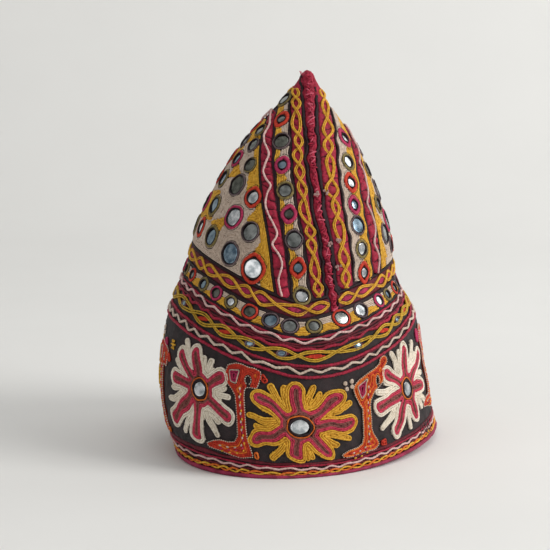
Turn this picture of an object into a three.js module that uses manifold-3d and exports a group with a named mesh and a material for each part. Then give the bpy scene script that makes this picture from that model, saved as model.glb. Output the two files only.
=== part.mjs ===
// A pointed, embroidered cloth cap with mirror discs: a deep band, a crown of two panels joined
// by a seam from front to back, a lining and a bound hem.
// Millimetres, +Z up. The hem stands on z = 0 and the front of the band faces -Y.
// Places on the cap are given as an angle (0 at the front, growing towards +X), a height up
// the cloth, and an offset outwards from the ground cloth's outer face.
import * as THREE from 'three';
import { mergeVertices } from 'three/addons/utils/BufferGeometryUtils.js';
import Module from 'manifold-3d';

const wasm = await Module();
wasm.setup();

const { lerp, clamp, smoothstep, degToRad } = THREE.MathUtils;

// ---------------------------------------------------------------- driving dimensions

const CAP_HEIGHT = 242.5;
const CROWN_TOP = 236;
const LINING_TOP = 226;

const EDGE_GAP = 0.35;
const CLOTH = { inner: -1.8, outer: 0 };
const LINING = { inner: -4, outer: -2.6 };
const STITCHING = { inner: 0.8, outer: 2.1 };
const DISC = { inner: 0.9, outer: 1.9 };

const RING_SEGMENTS = 36;
const CROWN_COLUMNS = 14;
const STRIP_ROWS = 9;

// Half of the cap's width, front-to-back stretch, sideways drift of its axis, slope of its
// levels, and skew of its plan, each as [height, value] along the cloth.
const halfWidthAt = curveThrough([
  [0, 84.5], [15, 87], [32, 87.5], [55, 85.5], [80, 82], [103, 71.5], [118, 65.5],
  [135, 63], [165, 52], [195, 36], [220, 16.5], [237, 4.5], [CAP_HEIGHT, 2],
]);
const depthRatioAt = curveThrough([[0, 1.15], [110, 1.14], [180, 1.08], [225, 1], [CAP_HEIGHT, 1]]);
const driftAt = curveThrough([
  [0, 7], [10, 4], [25, 0], [55, -4], [110, -4.5], [150, -1.5], [185, 1.5], [230, 5.5], [CAP_HEIGHT, 6],
]);
const slopeAt = curveThrough([[0, 0], [80, 0], [115, 0.075], [160, 0.08], [CAP_HEIGHT, 0.08]]);
const skewAt = curveThrough([[0, 26], [40, 15], [110, 0], [CAP_HEIGHT, 0]]);

const LEAN = degToRad(80);
const HEM_LIFT = 5;
const HEM_LIFT_SPREAD = degToRad(75);
const HEM_LIFT_FADE_HEIGHT = 90;
const LEVEL_OFFSETS_BELOW = 14;

// The crown seam turns a little as it climbs.
const SEAM_ANGLE_LOW = degToRad(17.5);
const SEAM_ANGLE_HIGH = degToRad(6);
const SEAM_TURN = { from: 105, to: 200 };

// Levels on the band rise from the front and back to the sides. The lowest spot over the flowers
// lies a little to the right of the front.
const FLOWERS_TOP_TURN = degToRad(8);
const bandTop = (angle) => 95.5 + 20 * sideness(angle);
const flowersTop = (angle) => (
  61 + 25 * sideness(angle - FLOWERS_TOP_TURN * (1 + Math.cos(angle)) / 2) ** 1.4
);
const hemRowsTop = (angle) => 10 + 4 * sideness(angle);
const BAND_ROWS = [
  { name: 'lower_zigzag_band', from: 0, to: 0.22, color: 'maroon' },
  { name: 'eye_chain_band', from: 0.22, to: 0.52, color: 'maroon' },
  { name: 'upper_zigzag_band', from: 0.52, to: 0.73, color: 'maroon' },
  { name: 'mirror_band', from: 0.73, to: 1, color: 'yellow' },
];
const HEM_ROWS = [
  { name: 'hem_chain_band', from: 0.34, to: 0.66, color: 'yellow' },
  { name: 'hem_zigzag_band', from: 0.66, to: 1, color: 'maroon' },
];
const BINDING_TOP = 0.3;
const BINDING = { inner: -6.2, outer: 3, cloth: 1.1 };

// Strip edges on the crown, as distances from the seam along the cloth.
const STRIP_NAMES = ['chain_strip', 'mirror_strip', 'wave_strip'];
const STRIP_COLORS = ['maroon', 'yellow', 'maroon'];
const SIDES = [
  { name: 'left', sign: -1, edges: [4.3, 13, 25.8, 36] },
  { name: 'right', sign: 1, edges: [4.5, 17, 35, 45] },
];
const ENDS = ['front', 'back'];
const STRIP_TOP = 226;
const TAPE_TOP = 234;
const TAPE_HALF_WIDTH = 3.6;
const TAPE_MOST_TURN = degToRad(50);
const SEAM_CLEARANCE = 0.6;
const BASE_CHAIN_WIDTH = 11.5;
const ABOVE_BASE_CHAIN = BASE_CHAIN_WIDTH + 0.9;

// Large discs on each crown field, by end of the seam: distance in from the field's edge,
// height above the base chain, radius.
const FIELD_DISCS = [
  { end: 'front', inset: 14, height: 11, radius: 5.6 },
  { end: 'back', inset: 31, height: 15, radius: 5.4 },
  { end: 'front', inset: 25, height: 34, radius: 5.2 },
  { end: 'back', inset: 18, height: 48, radius: 4.8 },
];
const FLOWER_DISC_RADIUS = 6.5;
const DISC_CLEARANCE = 0.5;
const DISC_SIDES = 12;

// Flowers round the band, by angle in degrees: centre height, half width and half height.
const FLOWERS = [
  { angle: -156, height: 44, halfWidth: 27, halfHeight: 30, color: 'cream' },
  { angle: -108, height: 47, halfWidth: 27, halfHeight: 31, color: 'yellow' },
  { angle: -46.5, height: 50, halfWidth: 27, halfHeight: 31, color: 'cream' },
  { angle: -3, height: 34, halfWidth: 32, halfHeight: 26, color: 'yellow' },
  { angle: 53, height: 42, halfWidth: 32, halfHeight: 33, color: 'cream' },
  { angle: 104, height: 46, halfWidth: 31, halfHeight: 31, color: 'yellow' },
  { angle: 156, height: 40, halfWidth: 31, halfHeight: 29, color: 'cream' },
];
const PETALS = 8;
const PETAL_DEPTH = 0.16;
const POINTS_PER_PETAL = 4;

const BIRD_ANGLES = [-132, -81, -26.5, 25.6, 78.5, 130];
const BIRD = { columnHalfWidth: 2.2, headHalfWidth: 5.5, footReach: 4.5, head: 11, foot: 6 };

const MATERIALS = {
  indigo: clothMaterial(0x2b2533),
  maroon: clothMaterial(0x7d1f3a),
  magenta: clothMaterial(0xa8325e),
  yellow: clothMaterial(0xd49a3c),
  cream: clothMaterial(0xc9b79f),
  orange: clothMaterial(0xbf4326),
  lining: clothMaterial(0x6b4a3a),
  mirror: new THREE.MeshStandardMaterial({ color: 0x9aa4ad, roughness: 0.12, metalness: 1 }),
};

// ---------------------------------------------------------------- the cap's surface

function clothMaterial(color) {
  return new THREE.MeshStandardMaterial({ color, roughness: 0.85, metalness: 0 });
}

// A smooth curve through points that never overshoots them.
function curveThrough(points) {
  const secants = points.slice(1).map(([x, y], i) => (y - points[i][1]) / (x - points[i][0]));
  const slopes = points.map((_, i) => {
    const before = secants[i - 1] ?? secants[i];
    const after = secants[i] ?? secants[i - 1];
    return before * after > 0 ? (2 * before * after) / (before + after) : 0;
  });
  return (at) => {
    const x = clamp(at, points[0][0], points[points.length - 1][0]);
    const i = Math.min(points.filter(([start]) => start <= x).length, points.length - 1) - 1;
    const [[x0, y0], [x1, y1]] = [points[i], points[i + 1]];
    const span = x1 - x0;
    const t = (x - x0) / span;
    const rise = y1 - y0;
    const bend = t * (1 - t) * (span * (slopes[i] * (1 - t) - slopes[i + 1] * t) - rise * (1 - 2 * t));
    return y0 + rise * t + bend;
  };
}

// How far round to a side an angle is: 0 at the front and back, 1 at the sides.
function sideness(angle) {
  const rounding = 0.1;
  return (Math.hypot(Math.sin(angle), rounding) - rounding) / (Math.hypot(1, rounding) - rounding);
}

function hemLift(angle, height) {
  const away = Math.abs(Math.atan2(Math.sin(angle - LEAN), Math.cos(angle - LEAN)));
  const across = smoothstep(1 - away / HEM_LIFT_SPREAD, 0, 1);
  const upward = smoothstep(1 - height / HEM_LIFT_FADE_HEIGHT, 0, 1);
  return HEM_LIFT * across * upward;
}

function skinPoint(angle, height) {
  const halfWidth = halfWidthAt(height);
  const halfDepth = halfWidth * depthRatioAt(height);
  const x = halfWidth * Math.sin(angle);
  const y = -halfDepth * Math.cos(angle) + skewAt(height) * Math.sin(angle);
  const towardsLean = x * Math.sin(LEAN) - y * Math.cos(LEAN);
  const drift = driftAt(height);
  return new THREE.Vector3(
    x + drift * Math.sin(LEAN),
    y - drift * Math.cos(LEAN),
    height - towardsLean * slopeAt(height) + hemLift(angle, height),
  );
}

// Axes on the skin: x along growing angle, y up the cloth, z straight out.
function skinAxes(angle, height) {
  const step = 0.05;
  const low = clamp(height - step, 0, CAP_HEIGHT - 2 * step);
  const along = skinPoint(angle + 0.001, height).sub(skinPoint(angle - 0.001, height)).normalize();
  const up = skinPoint(angle, low + 2 * step).sub(skinPoint(angle, low));
  const out = new THREE.Vector3().crossVectors(along, up).normalize();
  return new THREE.Matrix4().makeBasis(along, new THREE.Vector3().crossVectors(out, along), out);
}

// Offsets turn level near the hem, so that its underside is flat.
function offsetPoint(angle, height, offset) {
  const out = new THREE.Vector3().setFromMatrixColumn(skinAxes(angle, height), 2);
  out.z *= smoothstep(height, 0, LEVEL_OFFSETS_BELOW);
  return skinPoint(angle, height).addScaledVector(out.normalize(), offset);
}

function seamAngle(height) {
  return lerp(SEAM_ANGLE_LOW, SEAM_ANGLE_HIGH, smoothstep(height, SEAM_TURN.from, SEAM_TURN.to));
}

// Angle that a distance along the cloth from the seam takes up at a height.
function turnFor(distance, height) {
  const halfWidth = halfWidthAt(height);
  const halfDepth = halfWidth * depthRatioAt(height);
  const mean = (halfWidth + halfDepth) / 2;
  const quarterDifference = (halfDepth - halfWidth) / 4;
  let turn = distance / mean;
  for (let i = 0; i < 6; i += 1) {
    turn = (distance + quarterDifference * Math.sin(2 * turn)) / mean;
  }
  return turn;
}

// Height where a line at this distance from the seam meets its twin from the back.
function meetingHeight(distance) {
  let low = 100;
  let high = CROWN_TOP;
  for (let i = 0; i < 30; i += 1) {
    const middle = (low + high) / 2;
    if (turnFor(distance, middle) < Math.PI / 2) {
      low = middle;
    } else {
      high = middle;
    }
  }
  return low;
}

// Angle on the crown of a turn away from the front or back seam, on one side.
function crownAngle(sign, end, turn, height) {
  return seamAngle(height) + sign * (end === 'front' ? turn : Math.PI - turn);
}

// ---------------------------------------------------------------- solids

// Joins the shared corners and turns the faces outwards.
function weld(geometry) {
  geometry.deleteAttribute('normal');
  geometry.deleteAttribute('uv');
  const welded = mergeVertices(geometry, 1e-3);
  const position = welded.getAttribute('position');
  const index = welded.getIndex().array;
  const corner = (i) => new THREE.Vector3().fromBufferAttribute(position, index[i]);
  let volume = 0;
  for (let i = 0; i < index.length; i += 3) {
    volume += corner(i).dot(corner(i + 1).cross(corner(i + 2)));
  }
  if (volume < 0) {
    index.reverse();
  }
  return welded;
}

// A slab that follows the skin. place(u, v) gives the angle and height of a spot on it.
function skinSlab(layer, columns, rows, place) {
  const geometry = new THREE.BoxGeometry(1, 1, 1, columns, rows, 1);
  const position = geometry.getAttribute('position');
  for (let i = 0; i < position.count; i += 1) {
    const [angle, height] = place(position.getX(i) + 0.5, position.getY(i) + 0.5);
    const offset = lerp(layer.inner, layer.outer, position.getZ(i) + 0.5);
    position.setXYZ(i, ...offsetPoint(angle, height, offset));
  }
  return weld(geometry);
}

// A ring round the band. Its section is a closed loop of [offset, height at an angle].
function skinRing(section) {
  const turningRadius = 1000;
  const loop = [...section.keys(), 0];
  const outline = loop.map((i) => new THREE.Vector2(turningRadius + section[i][0], i));
  const geometry = new THREE.LatheGeometry(outline, RING_SEGMENTS);
  const position = geometry.getAttribute('position');
  for (let i = 0; i < position.count; i += 1) {
    const angle = Math.atan2(position.getX(i), position.getZ(i));
    const offset = Math.hypot(position.getX(i), position.getZ(i)) - turningRadius;
    const heightAt = section[Math.round(position.getY(i))][1];
    position.setXYZ(i, ...offsetPoint(angle, heightAt(angle), offset));
  }
  return weld(geometry);
}

// A ring's section of even thickness that passes through the given levels.
function wallSection(layer, levels) {
  const outer = levels.map((level) => [layer.outer, level]);
  const inner = levels.map((level) => [layer.inner, level]);
  return [...outer, ...inner.reverse()];
}

function between(bottom, top, fraction) {
  return (angle) => lerp(bottom(angle), top(angle), fraction);
}

function toSolid(geometry) {
  return new wasm.Manifold(new wasm.Mesh({
    numProp: 3,
    vertProperties: geometry.getAttribute('position').array,
    triVerts: Uint32Array.from(geometry.getIndex().array),
  }));
}

function fromSolid(solid) {
  const { vertProperties, triVerts } = solid.getMesh();
  const geometry = new THREE.BufferGeometry();
  geometry.setAttribute('position', new THREE.BufferAttribute(vertProperties, 3));
  geometry.setIndex(new THREE.BufferAttribute(triVerts, 1));
  return geometry;
}

// A flat outline pushed straight through the cloth at a spot.
function throughCloth(outline, angle, height) {
  const reach = { inner: -18, outer: 6 };
  const geometry = new THREE.ExtrudeGeometry(new THREE.Shape(outline), {
    depth: reach.outer - reach.inner,
    bevelEnabled: false,
    curveSegments: DISC_SIDES,
  });
  geometry.translate(0, 0, reach.inner);
  geometry.applyMatrix4(skinAxes(angle, height).setPosition(skinPoint(angle, height)));
  return toSolid(weld(geometry));
}

function circleOutline(radius) {
  return Array.from({ length: DISC_SIDES }, (_, i) => {
    const turn = (2 * Math.PI * i) / DISC_SIDES;
    return new THREE.Vector2(radius * Math.cos(turn), radius * Math.sin(turn));
  });
}

const cap = new THREE.Group();
const centred = new THREE.Group();
centred.add(cap);

function addPiece(name, geometry, color) {
  const mesh = new THREE.Mesh(geometry, MATERIALS[color]);
  mesh.name = name;
  cap.add(mesh);
  return mesh;
}

function addDisc(name, radius, angle, height) {
  const thickness = DISC.outer - DISC.inner;
  const geometry = new THREE.CylinderGeometry(radius, radius, thickness, DISC_SIDES);
  geometry.rotateX(Math.PI / 2);
  const mesh = addPiece(name, weld(geometry), 'mirror');
  mesh.quaternion.setFromRotationMatrix(skinAxes(angle, height));
  mesh.position.copy(offsetPoint(angle, height, (DISC.inner + DISC.outer) / 2));
}

// ---------------------------------------------------------------- band

function addBand() {
  const levels = [
    (angle) => 0.5 * hemRowsTop(angle) * BINDING_TOP,
    hemRowsTop,
    between(hemRowsTop, flowersTop, 0.5),
    flowersTop,
    between(flowersTop, bandTop, BAND_ROWS[1].to),
    (angle) => bandTop(angle) - EDGE_GAP,
  ];
  addPiece('band_cloth', skinRing(wallSection(CLOTH, levels)), 'indigo');
  addPiece('lining_band', skinRing(wallSection(LINING, levels)), 'lining');
}

function addBandRow({ name, from, to, color }, bottom, top) {
  const lower = (angle) => between(bottom, top, from)(angle) + EDGE_GAP;
  const upper = (angle) => between(bottom, top, to)(angle) - EDGE_GAP;
  addPiece(name, skinRing(wallSection(STITCHING, [lower, upper])), color);
}

// A strip of cloth folded round the band's lower edge.
function addHemBinding() {
  const floor = () => 0;
  const fold = () => BINDING.cloth;
  const top = (angle) => hemRowsTop(angle) * BINDING_TOP;
  addPiece('hem_binding', skinRing([
    [BINDING.outer, floor],
    [BINDING.outer, top],
    [BINDING.outer - BINDING.cloth, top],
    [BINDING.outer - BINDING.cloth, fold],
    [BINDING.inner + BINDING.cloth, fold],
    [BINDING.inner + BINDING.cloth, top],
    [BINDING.inner, top],
    [BINDING.inner, floor],
  ]), 'magenta');
}

function flowerOutline({ halfWidth, halfHeight }) {
  const count = PETALS * POINTS_PER_PETAL;
  return Array.from({ length: count }, (_, i) => {
    const turn = (2 * Math.PI * i) / count;
    const reach = 1 - PETAL_DEPTH * (0.5 - 0.5 * Math.cos(PETALS * turn));
    return new THREE.Vector2(halfWidth * reach * Math.cos(turn), halfHeight * reach * Math.sin(turn));
  });
}

// Stitching on the flower zone, from a bit below the outline to a bit above it.
function zoneSlab(angle, halfTurn, bottom, top) {
  return toSolid(skinSlab(STITCHING, 5, 2, (u, v) => {
    const at = angle + lerp(-halfTurn, halfTurn, u);
    return [at, lerp(bottom(at), top(at), v)];
  }));
}

const zoneBottom = (angle) => hemRowsTop(angle) + EDGE_GAP;
const zoneTop = (angle) => flowersTop(angle) - EDGE_GAP;

function addFlower(flower, i) {
  const angle = degToRad(flower.angle);
  const halfTurn = turnFor(flower.halfWidth + 4, flower.height);
  const hole = throughCloth(circleOutline(FLOWER_DISC_RADIUS + DISC_CLEARANCE), angle, flower.height);
  const solid = zoneSlab(angle, halfTurn, zoneBottom, zoneTop)
    .intersect(throughCloth(flowerOutline(flower), angle, flower.height))
    .subtract(hole);
  addPiece(`flower_${i + 1}`, fromSolid(solid), flower.color);
  addDisc(`flower_mirror_${i + 1}`, FLOWER_DISC_RADIUS, angle, flower.height);
}

// A stylised bird: a crest at the top, a straight body and a foot to one side.
function birdOutline(halfHeight) {
  const { columnHalfWidth, headHalfWidth, footReach, head, foot } = BIRD;
  return [
    [-footReach - columnHalfWidth, -halfHeight],
    [columnHalfWidth, -halfHeight],
    [columnHalfWidth, halfHeight - head],
    [headHalfWidth, halfHeight],
    [-headHalfWidth, halfHeight],
    [-columnHalfWidth, halfHeight - head],
    [-columnHalfWidth, foot - halfHeight],
    [-footReach - columnHalfWidth, foot / 2 - halfHeight],
  ].map(([x, y]) => new THREE.Vector2(x, y));
}

function addBird(degrees, i) {
  const angle = degToRad(degrees);
  const [bottom, top] = [zoneBottom(angle), zoneTop(angle)];
  const outline = throughCloth(birdOutline((top - bottom) / 2 - 1.5), angle, (bottom + top) / 2);
  const solid = zoneSlab(angle, turnFor(12, bottom), zoneBottom, zoneTop).intersect(outline);
  addPiece(`bird_${i + 1}`, fromSolid(solid), 'orange');
}

// ---------------------------------------------------------------- crown

// A spot on the crown between a level above the band and a top height. angleAt gives its angle
// at any height.
function crownPlace(angleAt, clearance, top, v) {
  let bottom = SEAM_TURN.from;
  for (let i = 0; i < 4; i += 1) {
    bottom = bandTop(angleAt(bottom)) + clearance;
  }
  const height = lerp(bottom, top, v);
  return [angleAt(height), height];
}

// A spot on one side of the crown, u of the way from the front seam to the back one, leaving
// the same distance free at both.
function sidePlace(sign, distance, clearance, top, u, v) {
  const angleAt = (height) => {
    const edge = turnFor(distance, height);
    return crownAngle(sign, 'front', lerp(edge, Math.PI - edge, u), height);
  };
  return crownPlace(angleAt, clearance, top, v);
}

// A crown panel's lowest row is as tall as the base chain, so the rows above match the strips'.
function panelSlab(layer, sign, top) {
  const rows = STRIP_ROWS + 1;
  return skinSlab(layer, CROWN_COLUMNS, rows, (u, v) => {
    const row = Math.round(v * rows);
    const place = (clearance, part) => sidePlace(sign, SEAM_CLEARANCE, clearance, top, u, part);
    return row === 0 ? place(EDGE_GAP, 0) : place(BASE_CHAIN_WIDTH, (row - 1) / STRIP_ROWS);
  });
}

function addCrownPanels({ name, sign }) {
  addPiece(`crown_${name}`, panelSlab(CLOTH, sign, CROWN_TOP), 'maroon');
  addPiece(`lining_${name}`, panelSlab(LINING, sign, LINING_TOP), 'lining');
}

function addCrownStrips({ name, sign, edges }) {
  STRIP_NAMES.forEach((strip, i) => {
    const [near, far] = [edges[i] + EDGE_GAP, edges[i + 1] - EDGE_GAP];
    ENDS.forEach((end) => {
      const slab = skinSlab(STITCHING, 2, STRIP_ROWS, (u, v) => {
        const distance = lerp(near, far, u);
        const top = Math.min(meetingHeight(distance + EDGE_GAP), STRIP_TOP);
        const angleAt = (height) => crownAngle(sign, end, turnFor(distance, height), height);
        return crownPlace(angleAt, ABOVE_BASE_CHAIN, top, v);
      });
      addPiece(`${strip}_${end}_${name}`, slab, STRIP_COLORS[i]);
    });
  });
}

// The chain that runs along the crown's lower edge, from seam to seam.
function addBaseChain({ name, sign }) {
  const slab = skinSlab(STITCHING, CROWN_COLUMNS, 1, (u, v) => {
    const clearance = lerp(EDGE_GAP, BASE_CHAIN_WIDTH - EDGE_GAP, v);
    return sidePlace(sign, TAPE_HALF_WIDTH + 2 * EDGE_GAP, clearance, CAP_HEIGHT, u, 0);
  });
  addPiece(`base_chain_${name}`, slab, 'yellow');
}

function addField({ name, sign, edges }) {
  const near = edges[edges.length - 1] + EDGE_GAP;
  const tipHalfWidth = 4;
  const top = meetingHeight(near + tipHalfWidth);
  const clearance = ABOVE_BASE_CHAIN;
  let field = toSolid(skinSlab(STITCHING, CROWN_COLUMNS - 4, STRIP_ROWS - 2, (u, v) => (
    sidePlace(sign, near, clearance, top, u, v)
  )));
  FIELD_DISCS.forEach(({ end, inset, height: rise, radius }, i) => {
    const angleAt = (height) => crownAngle(sign, end, turnFor(near + inset, height), height);
    const [angle, height] = crownPlace(angleAt, clearance + rise, top, 0);
    field = field.subtract(throughCloth(circleOutline(radius + DISC_CLEARANCE), angle, height));
    addDisc(`field_mirror_${name}_${i + 1}`, radius, angle, height);
  });
  addPiece(`field_${name}`, fromSolid(field), 'yellow');
}

// The band of stitching over the crown seam, in a front and a back length.
function addSeamTape(end) {
  const slab = skinSlab(STITCHING, 2, STRIP_ROWS, (u, v) => {
    const angleAt = (height) => {
      const turn = Math.min(turnFor(TAPE_HALF_WIDTH, height), TAPE_MOST_TURN);
      return crownAngle(1, end, lerp(-turn, turn, u), height);
    };
    return crownPlace(angleAt, EDGE_GAP, TAPE_TOP, v);
  });
  addPiece(`seam_tape_${end}`, slab, 'maroon');
}

// A knot of loose thread ends at the crown's point.
function addPointTuft() {
  const [bottom, top] = [CROWN_TOP + 0.6, CAP_HEIGHT + 2];
  const profile = [[0, 0], [3.2, 0], [3, 0.3], [1.7, 0.75], [0.6, 1], [0, 1]];
  const outline = profile.map(([radius, level]) => new THREE.Vector2(radius, lerp(bottom, top, level)));
  const geometry = new THREE.LatheGeometry(outline, 10);
  geometry.rotateX(Math.PI / 2);
  const centre = skinPoint(0, CROWN_TOP).add(skinPoint(Math.PI, CROWN_TOP)).multiplyScalar(0.5);
  geometry.translate(centre.x, centre.y, 0);
  addPiece('point_tuft', weld(geometry), 'maroon');
}

// ---------------------------------------------------------------- assembly

addHemBinding();
addBand();
HEM_ROWS.forEach((row) => addBandRow(row, () => 0, hemRowsTop));
BAND_ROWS.forEach((row) => addBandRow(row, flowersTop, bandTop));
FLOWERS.forEach(addFlower);
BIRD_ANGLES.forEach(addBird);
SIDES.forEach((side) => {
  addCrownPanels(side);
  addBaseChain(side);
  addCrownStrips(side);
  addField(side);
});
ENDS.forEach(addSeamTape);
addPointTuft();

// The origin is below the middle of the cap's bounding box.
const middle = new THREE.Box3().setFromObject(cap).getCenter(new THREE.Vector3());
cap.position.set(-middle.x, -middle.y, 0);

export default centred;
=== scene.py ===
import math
from collections import defaultdict

import bpy
import numpy as np
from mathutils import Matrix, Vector


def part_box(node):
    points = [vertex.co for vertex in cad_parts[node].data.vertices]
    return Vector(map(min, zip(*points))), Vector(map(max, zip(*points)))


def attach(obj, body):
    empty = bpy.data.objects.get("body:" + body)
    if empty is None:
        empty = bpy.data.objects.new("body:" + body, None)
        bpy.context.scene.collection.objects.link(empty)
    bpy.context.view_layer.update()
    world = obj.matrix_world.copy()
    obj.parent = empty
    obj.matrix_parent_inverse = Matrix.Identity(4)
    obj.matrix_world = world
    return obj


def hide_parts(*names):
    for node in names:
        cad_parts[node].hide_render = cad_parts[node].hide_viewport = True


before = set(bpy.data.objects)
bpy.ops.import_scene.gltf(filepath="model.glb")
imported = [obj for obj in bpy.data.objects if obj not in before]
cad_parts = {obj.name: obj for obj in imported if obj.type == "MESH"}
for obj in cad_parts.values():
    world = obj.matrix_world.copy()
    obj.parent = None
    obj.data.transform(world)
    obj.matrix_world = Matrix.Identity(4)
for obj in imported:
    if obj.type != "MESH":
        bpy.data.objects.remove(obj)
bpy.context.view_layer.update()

MM = 0.001
WHOLE_TURN = 2 * math.pi


# ---------------------------------------------------------------- the cap's surface

def curve_through(points):
    """A smooth curve through points that never overshoots them."""
    xs, ys = np.array(points, float).T
    secants = np.diff(ys) / np.diff(xs)
    before = np.concatenate([secants[:1], secants])
    after = np.concatenate([secants, secants[-1:]])
    same_way = before * after > 0
    slopes = np.where(same_way, 2 * before * after / np.where(same_way, before + after, 1), 0)

    def value_at(at):
        x = np.clip(at, xs[0], xs[-1])
        i = np.clip(np.searchsorted(xs, x, side="right") - 1, 0, len(xs) - 2)
        span = xs[i + 1] - xs[i]
        rise = ys[i + 1] - ys[i]
        t = (x - xs[i]) / span
        bend = t * (1 - t) * (span * (slopes[i] * (1 - t) - slopes[i + 1] * t) - rise * (1 - 2 * t))
        return ys[i] + rise * t + bend

    return value_at


CAP_HEIGHT = 242.5
half_width = curve_through([
    (0, 84.5), (15, 87), (32, 87.5), (55, 85.5), (80, 82), (103, 71.5), (118, 65.5),
    (135, 63), (165, 52), (195, 36), (220, 16.5), (237, 4.5), (CAP_HEIGHT, 2)])
depth_ratio = curve_through([(0, 1.15), (110, 1.14), (180, 1.08), (225, 1), (CAP_HEIGHT, 1)])
drift = curve_through([
    (0, 7), (10, 4), (25, 0), (55, -4), (110, -4.5), (150, -1.5), (185, 1.5), (230, 5.5),
    (CAP_HEIGHT, 6)])
level_slope = curve_through([(0, 0), (80, 0), (115, 0.075), (160, 0.08), (CAP_HEIGHT, 0.08)])
skew = curve_through([(0, 26), (40, 15), (110, 0), (CAP_HEIGHT, 0)])

LEAN = math.radians(80)
HEM_LIFT = 5
HEM_LIFT_SPREAD = math.radians(75)
HEM_LIFT_FADE_HEIGHT = 90
LEVEL_OFFSETS_BELOW = 14


def smoothstep(x, low, high):
    """0 below low, 1 above high and an even curve between them."""
    t = np.clip((x - low) / (high - low), 0, 1)
    return t * t * (3 - 2 * t)


def skin(angle, height):
    """Points on the outer face of the ground cloth, before the cap is centred."""
    angle, height = np.broadcast_arrays(np.asarray(angle, float), np.asarray(height, float))
    a = half_width(height)
    b = a * depth_ratio(height)
    x = a * np.sin(angle)
    y = -b * np.cos(angle) + skew(height) * np.sin(angle)
    towards_lean = x * math.sin(LEAN) - y * math.cos(LEAN)
    away = np.abs(np.arctan2(np.sin(angle - LEAN), np.cos(angle - LEAN)))
    lift = (HEM_LIFT * smoothstep(1 - away / HEM_LIFT_SPREAD, 0, 1)
            * smoothstep(1 - height / HEM_LIFT_FADE_HEIGHT, 0, 1))
    z = height - towards_lean * level_slope(height) + lift
    moved = drift(height)
    return np.stack([x + moved * math.sin(LEAN), y - moved * math.cos(LEAN), z], axis=-1)


def unit(vectors):
    """Vectors brought to length 1."""
    return vectors / np.maximum(np.linalg.norm(vectors, axis=-1, keepdims=True), 1e-9)


def outward(angle, height):
    """Unit vectors straight out of the cloth, level near the hem as in the CAD."""
    angle, height = np.broadcast_arrays(np.asarray(angle, float), np.asarray(height, float))
    low = np.clip(height - 0.05, 0, CAP_HEIGHT - 0.1)
    around = skin(angle + 0.001, height) - skin(angle - 0.001, height)
    up = skin(angle, low + 0.1) - skin(angle, low)
    out = unit(np.cross(around, up))
    out[..., 2] *= smoothstep(height, 0, LEVEL_OFFSETS_BELOW)
    return unit(out)


def shell_points(angles, heights, offset):
    """Points at an offset out of the ground cloth."""
    return skin(angles, heights) + outward(angles, heights) * np.asarray(offset)[..., None]


# The CAD's cap is centred over the origin: the shift comes from its hem binding's box.
BINDING_INNER, BINDING_OUTER, BINDING_TOP = -6.2, 3.0, 3.0
ring_angles, ring_heights = np.meshgrid(np.radians(np.arange(0, 360, 10)), (0, BINDING_TOP))
binding_edge = shell_points(ring_angles, ring_heights, BINDING_OUTER)
binding_low, binding_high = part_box("hem_binding")
CENTRING = np.array([
    (binding_low[i] + binding_high[i]) / 2 / MM
    - (binding_edge[..., i].min() + binding_edge[..., i].max()) / 2
    for i in range(2)] + [0.0])


# ---------------------------------------------------------------- zones of the band and the crown

SIGNS = {"left": -1, "right": 1}
ENDS = ("front", "back")
# Distances from the seam to the edges of each side's chain, mirror and wave strips.
STRIP_EDGES = {"left": (4.3, 13, 25.8, 36), "right": (4.5, 17, 35, 45)}
STRIP_TOP = 231
BASE_CHAIN_WIDTH = 11.5
FLOWERS_TOP_TURN = math.radians(8)
SETTLING_STEPS = 6
CROWN_START = 105.0


def side_part(angle):
    """How far round to a side an angle is: 0 at the front and back, 1 at the sides."""
    rounding = 0.1
    return (np.hypot(np.sin(angle), rounding) - rounding) / (math.hypot(1, rounding) - rounding)


def band_top(angle):
    """The height of the crown's lower edge."""
    return 95.5 + 20 * side_part(angle)


def flowers_top(angle):
    """The height where the rows over the flowers begin."""
    return 61 + 25 * side_part(angle - FLOWERS_TOP_TURN * (1 + np.cos(angle)) / 2) ** 1.4


def hem_rows_top(angle):
    """The height where the rows on the hem end."""
    return 9 + 4 * side_part(angle) + 3 * smoothstep(-np.sin(angle), 0.2, 0.9)


def band_level(angle, part):
    """A level in the rows over the flowers: 0 at their bottom and 1 at the crown's edge."""
    return flowers_top(angle) + (band_top(angle) - flowers_top(angle)) * part


def hem_level(angle, part):
    """A level in the rows on the hem: 0 at the edge and 1 at their top."""
    return hem_rows_top(angle) * part


def seam_angle(height):
    """The angle of the crown's front seam, which leans as it goes up."""
    return np.radians(17.5 - 11.5 * smoothstep(height, 105, 200))


def level_means(height):
    """The mean half width of a level ring, and a quarter of the difference of its half widths."""
    a = half_width(height)
    b = a * depth_ratio(height)
    return (a + b) / 2, (b - a) / 4


def turn_for(distance, height):
    """The angle that a distance from the seam takes up at a height."""
    mean, quarter_difference = level_means(height)
    turn = distance / mean
    for _ in range(SETTLING_STEPS):
        turn = (distance + quarter_difference * np.sin(2 * turn)) / mean
    return turn


def distance_from_seam(angle, height):
    """The distance over the cloth from the seam's nearer end."""
    turn = np.arcsin(np.minimum(np.abs(np.sin(angle - seam_angle(height))), 1))
    mean, quarter_difference = level_means(height)
    return mean * turn - quarter_difference * np.sin(2 * turn)


def half_side(height):
    """The distance from the seam to the middle of a side."""
    return level_means(height)[0] * math.pi / 2


def crown_angle(sign, end, distance, height):
    """The angle at a distance from one end of the seam."""
    turn = turn_for(np.minimum(distance, half_side(height)), height)
    return seam_angle(height) + sign * (turn if end == "front" else math.pi - turn)


def crown_bottom(sign, end, distance, clearance):
    """The height where the crown starts, a clearance over the band's top."""
    height = np.full(np.shape(distance), CROWN_START)
    for _ in range(SETTLING_STEPS):
        height = band_top(crown_angle(sign, end, distance, height)) + clearance
    return height


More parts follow.
